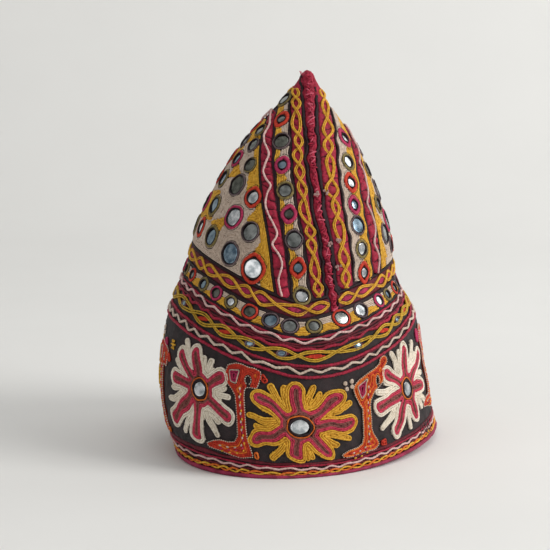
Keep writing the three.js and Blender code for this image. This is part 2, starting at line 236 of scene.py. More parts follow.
def span_angle(sign, u, near, height):
    """The angle u of the way round a side, which starts and ends near the seam's two ends."""
    whole = 2 * half_side(height)
    margin = np.minimum(near / whole, 0.5)
    distance = (margin + u * (1 - 2 * margin)) * whole
    front = turn_for(np.minimum(distance, whole - distance), height)
    turn = np.where(distance <= whole / 2, front, math.pi - front)
    return seam_angle(height) + sign * turn


def crown_edge(sign, u, near, clearance, guess=CROWN_START):
    """Angles and heights along the crown's lower edge, a clearance over the band's top."""
    height = np.full(np.shape(u), guess)
    for _ in range(SETTLING_STEPS):
        angle = span_angle(sign, u, near, height)
        height = band_top(angle) + clearance
    return angle, height


table_heights = np.linspace(CAP_HEIGHT, 100, 600)


def meeting_height(distance):
    """The height where a line at this distance meets its twin from the back."""
    return np.interp(distance, half_side(table_heights), table_heights)


def local_place(angle, height, x, y):
    """A spot x along the cloth and y up it from a given spot."""
    step_up = np.linalg.norm(skin(angle, height + 0.5) - skin(angle, height - 0.5))
    heights = height + np.asarray(y, float) / step_up
    reach = 0.005
    apart = np.linalg.norm(skin(angle + reach, heights) - skin(angle - reach, heights), axis=-1)
    return angle + np.asarray(x, float) / (apart / (2 * reach)), heights


def ripple(points, size, seed):
    """A smooth irregular value between about -1 and 1, the same on each run."""
    draw = np.random.default_rng(seed)
    points = np.asarray(points, float)
    if points.ndim == 1:
        points = points[:, None]
    directions = unit(draw.normal(size=(6, points.shape[-1])))
    waves = WHOLE_TURN / size * draw.uniform(0.6, 1.5, 6)
    phases = draw.uniform(0, WHOLE_TURN, 6)
    return np.sin((points @ directions.T) * waves + phases).sum(axis=-1) / 2.6


def round_spots(turns):
    """Spots on a circle of about the band's size, for ripples that close on themselves."""
    return np.stack([np.cos(turns), np.sin(turns)], -1) * 80


def path_lengths(points):
    """The distance along a path to each of its points."""
    return np.concatenate([[0], np.cumsum(np.linalg.norm(np.diff(points, axis=0), axis=1))])


# ---------------------------------------------------------------- gathering meshes

# Offsets of the backs of pads and of thin coloured grounds, just inside the cloth's outer face.
PAD_BACK, PATCH_BACK = -0.3, -0.2
SOFTENING_TIMES = 2
bins = defaultdict(lambda: {"points": [], "quads": [], "triangles": [], "count": 0})


def put(piece, points, quads, triangles=()):
    """Adds faces to a piece. Points are in millimetres."""
    target = bins[piece]
    points = np.asarray(points, float).reshape(-1, 3)
    target["points"].append(points)
    target["quads"].append(np.asarray(quads, int).reshape(-1, 4) + target["count"])
    target["triangles"].append(np.asarray(triangles, int).reshape(-1, 3) + target["count"])
    target["count"] += len(points)


def grid_quads(rows, columns, wrap_rows=False, wrap_columns=False):
    """The faces of a grid of points. A wrapped way's last line meets its first."""
    i, j = np.meshgrid(np.arange(rows if wrap_rows else rows - 1),
                       np.arange(columns if wrap_columns else columns - 1), indexing="ij")
    i2, j2 = (i + 1) % rows, (j + 1) % columns
    corners = [i * columns + j, i * columns + j2, i2 * columns + j2, i2 * columns + j]
    return np.stack(corners, -1).reshape(-1, 4)


def put_sheet(piece, angles, heights, outer, inner, ring=False):
    """A closed sheet between two offsets from the cloth. A ring's last column meets its first."""
    rows, columns = angles.shape
    size = rows * columns
    face = grid_quads(rows, columns, wrap_columns=ring)
    j = np.arange(columns if ring else columns - 1)
    k = (j + 1) % columns
    top = (rows - 1) * columns
    quads = [face, face[:, ::-1] + size,
             np.stack([j + size, k + size, k, j], -1),
             np.stack([top + j, top + k, top + k + size, top + j + size], -1)]
    if not ring:
        i = np.arange(rows - 1) * columns
        end = i + columns - 1
        quads.append(np.stack([i + size, i, i + columns, i + columns + size], -1))
        quads.append(np.stack([end, end + size, end + columns + size, end + columns], -1))
    shells = [shell_points(angles, heights, offset).reshape(-1, 3) for offset in (outer, inner)]
    put(piece, np.concatenate(shells), np.concatenate(quads))


def put_patch(piece, angles, heights, outer, mask):
    """A closed sheet under the cells of a grid that a mask picks."""
    rows, columns = angles.shape
    size = rows * columns
    i, j = np.nonzero(mask)
    if len(i) == 0:
        return
    a = i * columns + j
    b, c, d = a + 1, a + columns + 1, a + columns
    quads = [np.stack([a, b, c, d], -1), np.stack([d, c, b, a], -1) + size]
    padded = np.pad(mask, 1)
    neighbours = ((padded[:-2, 1:-1], a, b), (padded[1:-1, 2:], b, c), (padded[2:, 1:-1], c, d),
                  (padded[1:-1, :-2], d, a))
    for beside, first, second in neighbours:
        is_open = ~beside[i, j]
        p, q = first[is_open], second[is_open]
        quads.append(np.stack([p + size, q + size, q, p], -1))
    used, faces = np.unique(np.concatenate(quads), return_inverse=True)
    shells = [shell_points(angles, heights, offset).reshape(-1, 3) for offset in (outer, PATCH_BACK)]
    put(piece, np.concatenate(shells)[used], faces.reshape(-1, 4))


def put_rings(piece, rings, top, bottom):
    """A closed form from rings of points, with a point over the last ring and one under the first."""
    levels, count = rings.shape[:2]
    points = np.concatenate([rings.reshape(-1, 3), [top], [bottom]])
    j = np.arange(count)
    k = (j + 1) % count
    last = (levels - 1) * count
    fans = [np.stack([last + j, last + k, np.full(count, len(points) - 2)], -1),
            np.stack([k, j, np.full(count, len(points) - 1)], -1)]
    put(piece, points, grid_quads(levels, count, wrap_columns=True), np.concatenate(fans))


def resample(path, step, closed=False):
    """Columns of numbers along a path, spaced evenly along the cloth. The first two columns are
    its angle and height."""
    along = path_lengths(skin(path[:, 0], path[:, 1]))
    count = max(int(along[-1] / step) + 1, 4)
    at = np.linspace(0, along[-1], count)
    columns = np.stack([np.interp(at, along, column) for column in path.T], -1)
    if closed:
        return columns[:-1], at[:-1], along[-1]
    return columns, at, along[-1]


# Cross-sections of a thread, as shares of half its width and of its thickness.
ROUND = [(-1, -0.3), (-0.8, 0.5), (0, 1), (0.8, 0.5), (1, -0.3)]
FLAT = [(-1, -0.3), (-0.55, 0.85), (0.55, 0.85), (1, -0.3)]
SHORTEST_CORD = 0.8


def put_cord(piece, angle, height, width=1.3, thick=0.9, lift=0.5, stitch=2.2, step=0.6,
             closed=False, shape=ROUND, wander=0.12, depth=0.26, seed=1):
    """A laid thread along a path on the cloth, nipped in at each stitch."""
    angle, height, lift = np.broadcast_arrays(angle, height, lift)
    path, at, total = resample(np.stack([angle, height, lift], -1), step, closed)
    if total < SHORTEST_CORD:
        return
    points = skin(path[:, 0], path[:, 1])
    out = outward(path[:, 0], path[:, 1])
    centre = points + out * path[:, 2:3]
    if closed:
        tangent = unit(np.roll(centre, -1, axis=0) - np.roll(centre, 1, axis=0))
        stitch = total / max(round(total / stitch), 1)
        ends = np.ones(len(at))
    else:
        tangent = unit(np.gradient(centre, axis=0))
        ends = np.clip(np.minimum(at, total - at) / (0.5 * width) * 0.7 + 0.3, 0, 1)
    side = unit(np.cross(out, tangent))
    centre = centre + side * (wander * ripple(points, 7, seed))[:, None]
    bead = 1 - depth * (1 - np.abs(np.sin(math.pi * at / stitch)) ** 0.7)
    bead = bead * (1 + 0.08 * ripple(points, 3.5, seed + 1))
    across = (width / 2 * bead * ends)[:, None]
    rise = (thick * (0.35 + 0.65 * bead) * ends)[:, None]
    rings = np.stack([centre + side * across * u + out * rise * v for u, v in shape], axis=1)
    count, sides = rings.shape[:2]
    caps = []
    if not closed:
        end = (count - 1) * sides
        for k in range(1, sides - 1):
            caps += [(0, k + 1, k), (end, end + k, end + k + 1)]
    put(piece, rings, grid_quads(count, sides, wrap_rows=closed, wrap_columns=True), caps)


def put_loop(piece, degrees, height, middle, radii, points=14, **how):
    """A closed oval of thread, its middle given in flat millimetres from a spot on the cap."""
    angle = math.radians(degrees)
    turns = np.linspace(0, WHOLE_TURN, points)
    x = middle[0] + radii[0] * np.cos(turns)
    y = middle[1] + radii[1] * np.sin(turns)
    put_cord(piece, *local_place(angle, height, x, y), closed=True, **how)


# ---------------------------------------------------------------- lines through grids

def level_lines(field, level):
    """Lines of one level in a grid of values, as arrays of (row, column), with whether each is
    closed."""
    over = field > level
    along_row = over[:, :-1] != over[:, 1:]
    along_column = over[:-1] != over[1:]
    cells = np.argwhere(along_row[:-1] | along_row[1:] | along_column[:, :-1] | along_column[:, 1:])
    links = defaultdict(list)
    for i, j in cells.tolist():
        around_cell = ((along_row, (0, i, j)), (along_column, (1, i, j + 1)),
                       (along_row, (0, i + 1, j)), (along_column, (1, i, j)))
        edges = [edge for crossed, edge in around_cell if crossed[edge[1:]]]
        for a, b in zip(edges[::2], edges[1::2]):
            links[a].append(b)
            links[b].append(a)

    def spot(edge):
        kind, i, j = edge
        here = field[i, j]
        there = field[i, j + 1] if kind == 0 else field[i + 1, j]
        t = (level - here) / (there - here)
        return (i, j + t) if kind == 0 else (i + t, j)

    lines = []
    left = dict.fromkeys(sorted(links, key=lambda e: len(links[e])))
    while left:
        start = next(iter(left))
        closed = len(links[start]) > 1
        chain = [start]
        del left[start]
        while True:
            onward = [e for e in links[chain[-1]] if e in left]
            if not onward:
                break
            chain.append(onward[0])
            del left[onward[0]]
        if len(chain) > 4:
            if closed:
                chain.append(chain[0])
            lines.append((soften(np.array([spot(e) for e in chain]), closed), closed))
    return lines


def soften(line, closed):
    """Evens out a line's small corners."""
    for _ in range(SOFTENING_TIMES):
        if closed:
            body = line[:-1]
            body = (np.roll(body, 1, axis=0) + 2 * body + np.roll(body, -1, axis=0)) / 4
            line = np.concatenate([body, body[:1]])
        else:
            line = line.copy()
            line[1:-1] = (line[:-2] + 2 * line[1:-1] + line[2:]) / 4
    return line


def runs(line, keep, closed):
    """The stretches of a line where keep holds, and whether each is a whole closed line."""
    if keep.all():
        return [(line, closed)]
    if closed and keep[0]:
        first_gap = int(np.argmin(keep))
        line = np.concatenate([line[first_gap:-1], line[:first_gap + 1]])
        keep = np.concatenate([keep[first_gap:-1], keep[:first_gap + 1]])
    edges = np.flatnonzero(np.diff(np.concatenate([[0], keep.astype(int), [0]])))
    return [(line[a:b], False) for a, b in zip(edges[::2], edges[1::2]) if b - a > 3]


def values_along(line, grid):
    """A grid's values at the points of a line of (row, column)."""
    i, j = line.T
    i0 = np.clip(i.astype(int), 0, grid.shape[0] - 2)
    j0 = np.clip(j.astype(int), 0, grid.shape[1] - 2)
    s, t = i - i0, j - j0
    return ((1 - s) * (1 - t) * grid[i0, j0] + (1 - s) * t * grid[i0, j0 + 1]
            + s * (1 - t) * grid[i0 + 1, j0] + s * t * grid[i0 + 1, j0 + 1])


def whole_cells(picked):
    """The cells of a grid whose four corners are all picked."""
    return picked[:-1, :-1] & picked[1:, :-1] & picked[:-1, 1:] & picked[1:, 1:]


def nearest_gap(points, mirrors):
    """The distance from each point to the rim of the nearest of round mirrors."""
    centres = np.array([centre for centre, _ in mirrors])
    radii = np.array([radius for _, radius in mirrors])
    flat = points.reshape(-1, 3)
    best = np.full(len(flat), 1e9)
    block = 40
    for start in range(0, len(centres), block):
        few = slice(start, start + block)
        gap = np.linalg.norm(flat[:, None] - centres[None, few], axis=2) - radii[None, few]
        best = np.minimum(best, gap.min(axis=1))
    return best.reshape(points.shape[:-1])


# ---------------------------------------------------------------- filled areas

def put_underlay(region, angles, heights, gap, color_of, coarse):
    """A thin ground of the rows' own colour, so that no bare cloth shows between them."""
    angles, heights, gap = (g[::coarse, ::coarse] for g in (angles, heights, gap))
    colors = color_of(angles.ravel(), heights.ravel()).reshape(angles.shape)
    outer = 0.42 + 0.08 * ripple(skin(angles, heights), 4, 77)
    cells = whole_cells(gap > -0.9)
    for color in sorted(set(colors.ravel())):
        put_patch(f"{region}_fill_{color}", angles, heights, outer, cells & (colors[:-1, :-1] == color))


def put_fill(region, angles, heights, gap, row, color_of):
    """Rows of thread that follow the edges of what they fill. gap is the distance to them."""
    level = 0.55 * row
    number = 0
    while level < min(gap.max(), 30):
        for line, closed in level_lines(gap, level):
            spots = [values_along(line, grid) for grid in (angles, heights)]
            path = np.stack(spots, -1)
            colors = color_of(*spots)
            for color in sorted(set(colors) - {"none"}):
                for run, whole in runs(path, colors == color, closed):
                    number += 1
                    put_cord(f"{region}_fill_{color}", run[:, 0], run[:, 1], width=row * 1.12,
                             thick=0.75, lift=0.45, stitch=1.9, step=0.8, closed=whole, shape=FLAT,
                             wander=0.08, seed=number % 50)
        level += row


def put_two_color_fill(region, angles, heights, mirrors, from_edges, color_of):
    """Rows of two colours between mirrors. from_edges has the distances that each colour follows."""
    def rows_from(wanted):
        def chosen(angle, height):
            clear = nearest_gap(skin(angle, height), mirrors) > -0.3
            return np.where((color_of(angle, height) == wanted) & clear, wanted, "none")
        return chosen

    gap = np.minimum.reduce([nearest_gap(skin(angles, heights), mirrors), *from_edges.values()])
    put_underlay(region, angles, heights, gap, color_of, coarse=1)
    for wanted, from_edge in from_edges.items():
        put_fill(region, angles, heights, from_edge, 1.05, rows_from(wanted))


# ---------------------------------------------------------------- mirrors

RING_CYCLE = ("grey", "magenta", "olive", "red", "grey", "olive", "magenta", "red")
# Glass tints of the mirrors out of view, in turn: partly the glass's own and partly painted reflection.
TINT_AND_REFLECTION_CYCLE = ("grey", "blue", "grey", "bright", "dark", "blue", "grey")


def put_mirror(piece, angle, height, rx, ry, lift=1.0, seed=0):
    """A thin glass disc, slightly domed and never quite level."""
    bulge, edge = 0.22, 0.5
    draw = np.random.default_rng(seed)
    out = outward(angle, height)
    centre = skin(angle, height) + out * lift
    around = unit(skin(angle + 0.002, height) - skin(angle - 0.002, height))
    up = np.cross(out, around)
    tilt_x, tilt_y = draw.normal(0, 0.05, 2)
    turns = np.linspace(0, WHOLE_TURN, 28, endpoint=False)
    rings = []
    for r in (1.0, 0.8, 0.55, 0.28):
        x, y = rx * r * np.cos(turns), ry * r * np.sin(turns)
        z = bulge * (1 - r * r) + tilt_x * x + tilt_y * y
        rings.append(centre + np.outer(x, around) + np.outer(y, up) + np.outer(z, out))
    put_rings(piece, np.stack([rings[0] - out * edge] + rings), centre + out * bulge, centre - out * edge)


def put_ring(piece, angle, height, rx, ry, width, thick, lift, flare=0.0, seed=0):
    """Radial stitches round a mirror's edge. flare points the ring at its top and bottom."""
    turns = np.linspace(0, WHOLE_TURN, 64)
    swell = 1 + flare * np.abs(np.sin(turns)) ** 6
    circle = np.stack([np.cos(turns), np.sin(turns)], -1)
    wobble = 1 + 0.03 * ripple(circle * 10 + seed * 3.7, 12, seed)
    angles, heights = local_place(
        angle, height, rx * np.cos(turns) * wobble, ry * np.sin(turns) * wobble * swell)
    put_cord(piece, angles, heights, width=width, thick=thick, lift=lift, stitch=0.95, step=0.42,
             closed=True, wander=0.0, depth=0.3, seed=seed)


def put_framed_mirror(region, angle, height, outer, glass, color, tint, flare=0.0, seed=0, tall=1.08):
    """A mirror and the ring of stitches that holds it. outer is the ring's outer radius. Returns
    the mirror's middle and that radius, for the rows that go round it."""
    put_mirror(f"{region}_mirrors_{tint}", angle, height, glass + 0.4, (glass + 0.4) * tall, lift=0.9,
               seed=seed)
    rings = (
        (color, (outer + glass) / 2, outer - glass + 0.3, 1.15, 0.75, flare),
        ("dark", glass + 0.25, 0.8, 1.2, 0.85, 0.0),
        ("dark", outer + 0.3, 0.7, 0.8, 0.5, flare))
    for ring_color, radius, width, thick, lift, point in rings:
        put_ring(f"{region}_rings_{ring_color}", angle, height, radius, radius * tall, width, thick, lift,
                 point, seed)
    return skin(angle, height), outer


# ---------------------------------------------------------------- ground cloth

def whole_band(columns, rows):
    """A grid round the band, from its hem up to its top."""
    low = 0.6
    turns = np.linspace(0, WHOLE_TURN, columns, endpoint=False)
    angle, part = np.meshgrid(turns, np.linspace(0, 1, rows))
    return angle, low + (band_top(angle) - low) * part


def put_ground_cloth():
    """The band's dark cloth, the crown's two panels and the lining, each a closed sheet."""
    cloth_back, lining_face, lining_back = 1.7, 2.7, 3.9
    panel_top, lining_top = 238, 226
    angle, height = whole_band(380, 90)
    points = skin(angle, height)
    puckers = 0.22 * ripple(points, 9, 11) + 0.12 * ripple(points, 3.2, 12)
    put_sheet("band_ground", angle, height, puckers - 0.1, puckers - cloth_back, ring=True)
    angle, height = whole_band(240, 70)
    height = 0.8 + 0.99 * height
    quilt = 0.3 * np.sin(height / 2.2) + 0.25 * ripple(skin(angle, height), 14, 13)
    put_sheet("lining_band_cloth", angle, height, quilt - lining_face, quilt - lining_back, ring=True)

    u, part = np.meshgrid(np.linspace(0, 1, 120), np.linspace(0, 1, 110))
    for side, sign in SIGNS.items():
        _, bottom = crown_edge(sign, u, 0, -0.3)
        height = bottom + (panel_top - bottom) * part
        angle = span_angle(sign, u, 0, height)
        points = skin(angle, height)
        puckers = 0.25 * ripple(points, 9, 14) + 0.12 * ripple(points, 3.2, 15)
        put_sheet(f"crown_ground_{side}", angle, height, puckers, puckers - cloth_back)
        quilt = 0.3 * np.sin(height / 2.2)
        height = bottom + (lining_top - bottom) * part
        angle = span_angle(sign, u, 0, height)
        put_sheet(f"lining_crown_{side}", angle, height, quilt - lining_face, quilt - lining_back)


# ---------------------------------------------------------------- rows round the band

AROUND = np.radians(np.arange(-180, 180.01, 0.2))
ROUND_SPOTS = round_spots(AROUND)
# How far a row's waves run ahead or behind, and how much they and the row's height vary.
WAVE_SHIFT, WAVE_VARIATION, ROW_DRIFT = 0.55, 0.25, 0.35
EYE_LEVEL, EYE_PERIOD, EYE_SEED = 0.375, 44, 35

# Colour, level and ways of the rows, from the top of the hem down and from the flowers up.
HEM_ROWS = [
    ("crimson", 0.76, {"seed": 22}),
    ("pink", 0.62, {"wave": 0.75, "period": 12.5, "sharp": 0.6, "lift": 0.9, "seed": 23}),
    ("maroon", 0.49, {"width": 1.6, "seed": 24}),
    ("orange", 0.33, {"width": 1.4, "wave": 1.0, "period": 16, "lift": 1.1, "weave": 0.3, "seed": 26}),
    ("yellow", 0.33, {"width": 1.4, "wave": 1.0, "period": 16, "phase": 0.5, "lift": 1.2, "weave": 0.3,
                      "seed": 26})]
EYE_CORD = {"width": 1.1, "wave": 2.5, "period": EYE_PERIOD, "lift": 0.8, "weave": 0.3, "thick": 1.1,
            "stitch": 2.0, "seed": EYE_SEED, "pair": 0.52}
BAND_ROWS = [
    ("crimson", 0.015, {"width": 2.2, "seed": 31}),
    ("cream", 0.115, {"width": 1.8, "wave": 1.3, "period": 14, "sharp": 0.9, "lift": 0.8, "thick": 1.1,
                      "seed": 33}),
    ("maroon", 0.165, {"width": 1.4, "seed": 36}),
    ("crimson", 0.20, {"width": 2.0, "seed": 34}),
    ("gold", EYE_LEVEL, EYE_CORD),
    ("gold", EYE_LEVEL, {**EYE_CORD, "phase": 0.5}),
    ("crimson", 0.50, {"width": 2.1, "wave": 0.6, "period": 15, "seed": 37, "lift": 0.6}),
    ("maroon", 0.545, {"seed": 38}),
    ("pink", 0.635, {"width": 1.6, "wave": 1.0, "period": 15, "sharp": 0.6, "lift": 0.9, "thick": 1.1,
                     "seed": 40})]


def row_lengths(level, part):
    """The distance along a level to each of the angles around the cap."""
    return path_lengths(skin(AROUND, level(AROUND, part)))


def dome(across):
    """The rise of a pad from one edge, at -1, to the other, at 1."""
    return np.maximum(1 - across ** 2, 0) ** 0.5


def put_row(piece, level, part, width=1.5, thick=0.9, lift=0.5, wave=0.0, period=15.0, phase=0.0,
            sharp=1.0, seed=3, stitch=2.2, weave=0.0, pair=0.0):
    """A thread right round the band at a part of a zone's height, straight or waving."""
    along = row_lengths(level, part)
    total = along[-1]
    cycles = max(round(total / period), 1)
    turn = WHOLE_TURN * (cycles * along / total + phase) + WAVE_SHIFT * ripple(ROUND_SPOTS, 60, seed)
    swing = np.sin(turn)
    if sharp != 1.0:
        swing = (2 / math.pi) * np.arcsin(0.985 * swing) * sharp + swing * (1 - sharp)
    size = wave * (1 + WAVE_VARIATION * ripple(ROUND_SPOTS, 35, seed + 5))
    height = level(AROUND, part) + size * swing + ROW_DRIFT * ripple(ROUND_SPOTS, 30, seed + 9)
    for offset in (-pair, pair) if pair else (0,):
        put_cord(piece, AROUND, height + offset, width=width, thick=thick,
                 lift=lift + weave * np.cos(turn), stitch=stitch, closed=True, seed=seed)


def put_band_pad(piece, level, low, high, seed):
    """A padded row of satin stitches right round the band."""
    turns = np.radians(np.arange(0, 360, 0.5))
    spots = round_spots(turns)
    t = np.linspace(-1, 1, 9)[:, None]
    bottom = level(turns, low) + 0.3 * ripple(spots, 24, seed)
    top = level(turns, high) + 0.3 * ripple(spots, 24, seed + 1)
    heights = bottom + (top - bottom) * (t + 1) / 2
    angles = np.broadcast_to(turns, heights.shape)
    puff = 0.9 * dome(t) * (0.82 + 0.25 * ripple(skin(angles, heights), 9, seed + 2)) + 0.15
    put_sheet(piece, angles, heights, puff, PATCH_BACK, ring=True)


def put_band_rows():
    """Rows on the hem and over the flowers. Dark cloth shows between them."""
    put_band_pad("hem_rows_maroon", hem_level, 0.84, 1.0, 21)
    for color, part, how in HEM_ROWS:
        put_row(f"hem_rows_{color}", hem_level, part, **how)
    for color, part, how in BAND_ROWS:
        put_row(f"band_rows_{color}", band_level, part, **how)
    put_band_pad("band_rows_maroon", band_level, 0.565, 0.61, 39)
    put_band_pad("band_rows_crimson", band_level, 0.655, 0.70, 41)


def put_eyes():
    """Lozenges inside the chain with eyes, and a small mirror on some."""
    along = row_lengths(band_level, EYE_LEVEL)
    total = along[-1]
    cycles = round(total / EYE_PERIOD)
    waves = cycles * along / total + WAVE_SHIFT * ripple(ROUND_SPOTS, 60, EYE_SEED) / WHOLE_TURN
    draw = np.random.default_rng(51)
    for i in range(2 * cycles):
        middle = np.interp(0.25 + 0.5 * i, waves, AROUND)
        height = band_level(middle, EYE_LEVEL)
        kind = draw.random()
        color = "red" if kind < 0.6 else "maroon"
        for reach, up in ((6.5, 0.0), (4.6, 0.85), (4.6, -0.85)):
            x = np.linspace(-reach, reach, 16)
            angles, heights = local_place(middle, height, x, up * (1 - (x / (reach + 1)) ** 2))
            put_cord(f"band_rows_{color}", angles, heights, width=1.1, lift=0.4, seed=i)
        if kind > 0.72:
            put_mirror("band_mirrors_blue", middle, height, 2.3, 1.5, lift=1.3, seed=i)
            put_ring("band_rings_grey", middle, height, 2.9, 2.0, width=1.1, thick=1.0, lift=0.9, seed=i)


MIRROR_BAND = (0.735, 1.0)
MIRROR_BAND_MIDDLE = sum(MIRROR_BAND) / 2
# Mirrors in view: angle in degrees, ring colour, outer radius of the ring and glass tint, which is
# partly the glass's own and partly painted reflection.
BAND_MIRRORS = [
    (-70, "red", 5.0, "grey"), (-56.5, "olive", 5.2, "blue"), (-45.5, "magenta", 5.2, "dark"),
    (-35.5, "olive", 4.7, "bright"), (-24.5, "red", 5.6, "dark"), (-14, "grey", 5.4, "blue"),
    (-5, "grey", 5.4, "grey"), (6, "olive", 5.2, "grey"), (20, "red", 6.4, "grey"),
    (32, "grey", 5.6, "bright"), (46.5, "magenta", 5.2, "bright"), (56, "olive", 4.7, "blue"),
    (68, "red", 5.2, "grey")]
MIRRORS_BEHIND = 19


def band_color(angle, height):
    """The colour of the rows between the band's mirrors: cream above and yellow below."""
    part = (height - flowers_top(angle)) / (band_top(angle) - flowers_top(angle))
    sway = 0.03 * np.sin(angle * 16) + 0.02 * np.sin(angle * 29 + 1)
    return np.where(part > MIRROR_BAND_MIDDLE + sway, "cream", "yellow")


def put_mirror_band():
    """The row of mirrors under the crown, and the yellow and cream rows between them."""
    low, high = MIRROR_BAND
    first, last = 68, 290
    listed = list(BAND_MIRRORS)
    draw = np.random.default_rng(61)
    for i in range(MIRRORS_BEHIND):
        angle = first + (last - first) * (i + 1) / (MIRRORS_BEHIND + 1) + draw.uniform(-1, 1)
        listed.append((angle, RING_CYCLE[i % 8], draw.uniform(4.8, 5.8), TINT_AND_REFLECTION_CYCLE[i % 7]))
    mirrors = []
    for i, (degrees, color, outer, tint) in enumerate(listed):
        angle = math.radians(degrees)
        height = band_level(angle, MIRROR_BAND_MIDDLE + 0.01)
        glass = outer - (1.3 if color == "grey" else 2.0)
        mirrors.append(put_framed_mirror("band", angle, height, outer, glass, color, tint, seed=300 + i,
                                         tall=0.92))
    turns = np.radians(np.arange(-180, 180.01, 0.35))
    heights = band_level(turns, np.linspace(low, high, 36)[:, None])
    angles = np.broadcast_to(turns, heights.shape)
    points = skin(angles, heights)
    middle_row = points[len(points) // 2]
    closeness = np.exp(-(nearest_gap(middle_row, mirrors) + 2) ** 2 / 12)
    from_low = np.linalg.norm(points - points[:1], axis=-1) - 1.5 + 0.9 * closeness
    from_high = np.linalg.norm(points - points[-1:], axis=-1) - 0.8
    put_two_color_fill("band", angles, heights, mirrors, {"yellow": from_low, "cream": from_high}, band_color)
    put_row("band_edges_dark", band_level, low - 0.012, width=1.9, seed=62, lift=0.35, wave=0.35, period=12)
    put_row("band_edges_dark", band_level, high - 0.005, width=2.2, seed=63, lift=0.4)


# ---------------------------------------------------------------- crown strips

# The swing and spacing of each side's chain cords, and the width of a cord.
CHAIN_SIZES = {"left": (2.5, 12.5, 1.8), "right": (3.0, 14.5, 2.0)}
# Mirrors in view on the front strips: height, ring colour and glass tint, which is partly the
# glass's own and partly painted reflection.
STRIP_MIRRORS = {
    "left": [
        (223.5, "olive", "grey"), (212, "red", "grey"), (199.5, "grey", "dark"),
        (186, "magenta", "blue"), (171.5, "olive", "grey"), (158, "magenta", "dark"),
        (143.5, "grey", "grey"), (127, "red", "blue"), (110, "olive", "bright")],
    "right": [
        (203, "magenta", "bright"), (189.5, "olive", "bright"), (177.5, "red", "bright"),
        (164.5, "magenta", "blue"), (152.5, "grey", "blue"), (138.5, "olive", "bright"),
        (124, "red", "bright")]}


class Strip:
    """A strip of the crown that follows the seam at a range of distances from it."""

    def __init__(self, side, end, near, far):
        self.sign, self.end = SIGNS[side], end
        self.middle = (near + far) / 2
        bottom = crown_bottom(self.sign, end, np.array(self.middle), BASE_CHAIN_WIDTH)
        top = min(float(meeting_height(self.middle)), STRIP_TOP)
        self.heights = np.linspace(float(bottom), top, 500)
        angles = crown_angle(self.sign, end, self.middle, self.heights)
        self.lengths = path_lengths(skin(angles, self.heights))
        self.length = self.lengths[-1]

    def place(self, along, distance):
        """The angle and height at a length along the strip and a distance from the seam."""
        height = np.interp(along, self.lengths, self.heights)
        return crown_angle(self.sign, self.end, distance, height), height

    def along_of(self, height):
        """The length along the strip at a height."""
        return np.interp(height, self.heights, self.lengths)


def put_strip_cord(piece, strip, along, distance, **how):
    """A cord along a strip at given distances from the seam."""
    put_cord(piece, *strip.place(along, distance), **how)


def put_strip_pad(piece, strip, near, far, rise, seed):
    """A puckered pad of satin stitches along a strip, with near-black threads in each crease as painted
    shade.
    """
    base, crease_width = 0.1, 0.8
    draw = np.random.default_rng(seed)
    along = np.arange(0, strip.length, 0.8)
    s, across = np.meshgrid(along, np.linspace(-1, 1, 11), indexing="ij")
    middle, half = (near + far) / 2, (far - near) / 2
    end_taper = np.clip(np.minimum(along, strip.length - along) / 3 + 0.2, 0, 1) ** 0.5
    edge = half * (1 + 0.05 * ripple(along, 17, seed)) * end_taper
    angle, height = strip.place(s, middle + across * edge[:, None])
    creases = np.cumsum(draw.uniform(3, 9, 80))
    slant = draw.uniform(-2.0, 2.0, 80)
    dent = np.zeros(s.shape)
    for at, tilt in zip(creases, slant):
        if at < strip.length:
            dent = np.maximum(dent, np.exp(-((s - at - tilt * across) / crease_width) ** 2))
    satin = 0.85 + 0.2 * ripple(np.stack([s, across * 3], -1), 8, seed + 1)
    puff = rise * dome(across) * satin * (1 - 0.8 * dent)
    put_sheet(piece, angle, height, base + np.maximum(puff, 0), PAD_BACK)
    # Painted shade: near-black threads across each crease stand in for the shadow in the gathers.
    for at, tilt in zip(creases, slant):
        if not 2 < at < strip.length - 2:
            continue
        if draw.random() < 0.3:
            low, high = sorted(draw.uniform(-0.95, 0.95, 2))
        else:
            low, high = -0.95, draw.uniform(-0.2, 0.95)
        t = np.linspace(low, high, 9) * draw.choice((-1, 1))
        put_strip_cord(f"{piece}_gathers", strip, at + tilt * t, middle + half * t, width=0.75, thick=0.5,
                       lift=base + rise * 0.28 * np.sqrt(1 - t ** 2), stitch=1.5, step=0.5, seed=seed)


def put_chain_strip(end, side, near, far):
    """A pad with two cords that cross to form eyes. Each cord is a pair of fine rows."""
    strip = Strip(side, end, near, far)
    seed = 90 + len(end) * 3 + len(side)
    put_strip_pad(f"chain_pad_{end}_{side}", strip, near + 0.9, far - 0.4, 1.3, seed)
    swing, eye, cord = CHAIN_SIZES[side]
    along = np.linspace(0, strip.length, 900)
    phase = math.pi * along / eye + 0.7 * ripple(along, 50, seed)
    size = swing * (1 + 0.15 * ripple(along, 30, seed + 1))
    for way in (-1, 1):
        base = strip.middle + 0.2 + way * size * np.sin(phase) + 0.8 * ripple(along, 26, seed + 2) / 2
        for row in (-0.27, 0.27):
            put_strip_cord(f"chain_cords_{end}_{side}", strip, along, base + row * cord,
                           width=cord * 0.55, thick=0.95, lift=1.25 + 0.45 * way * np.cos(phase),
                           stitch=1.8, seed=seed + 3 + way)


def strip_mirror_list(end, side, strip):
    """The mirrors in view, or others spaced alike on the back half."""
    if end == "front":
        return STRIP_MIRRORS[side]
    draw = np.random.default_rng(71 if side == "left" else 72)
    found = []
    along = 7.0
    while along < strip.length - 8:
        i = len(found)
        height = float(np.interp(along, strip.lengths, strip.heights))
        found.append((height, RING_CYCLE[(i * 3 + len(side)) % 8], TINT_AND_REFLECTION_CYCLE[(i * 2) % 7]))
        along += draw.uniform(14, 16.5)
    return found


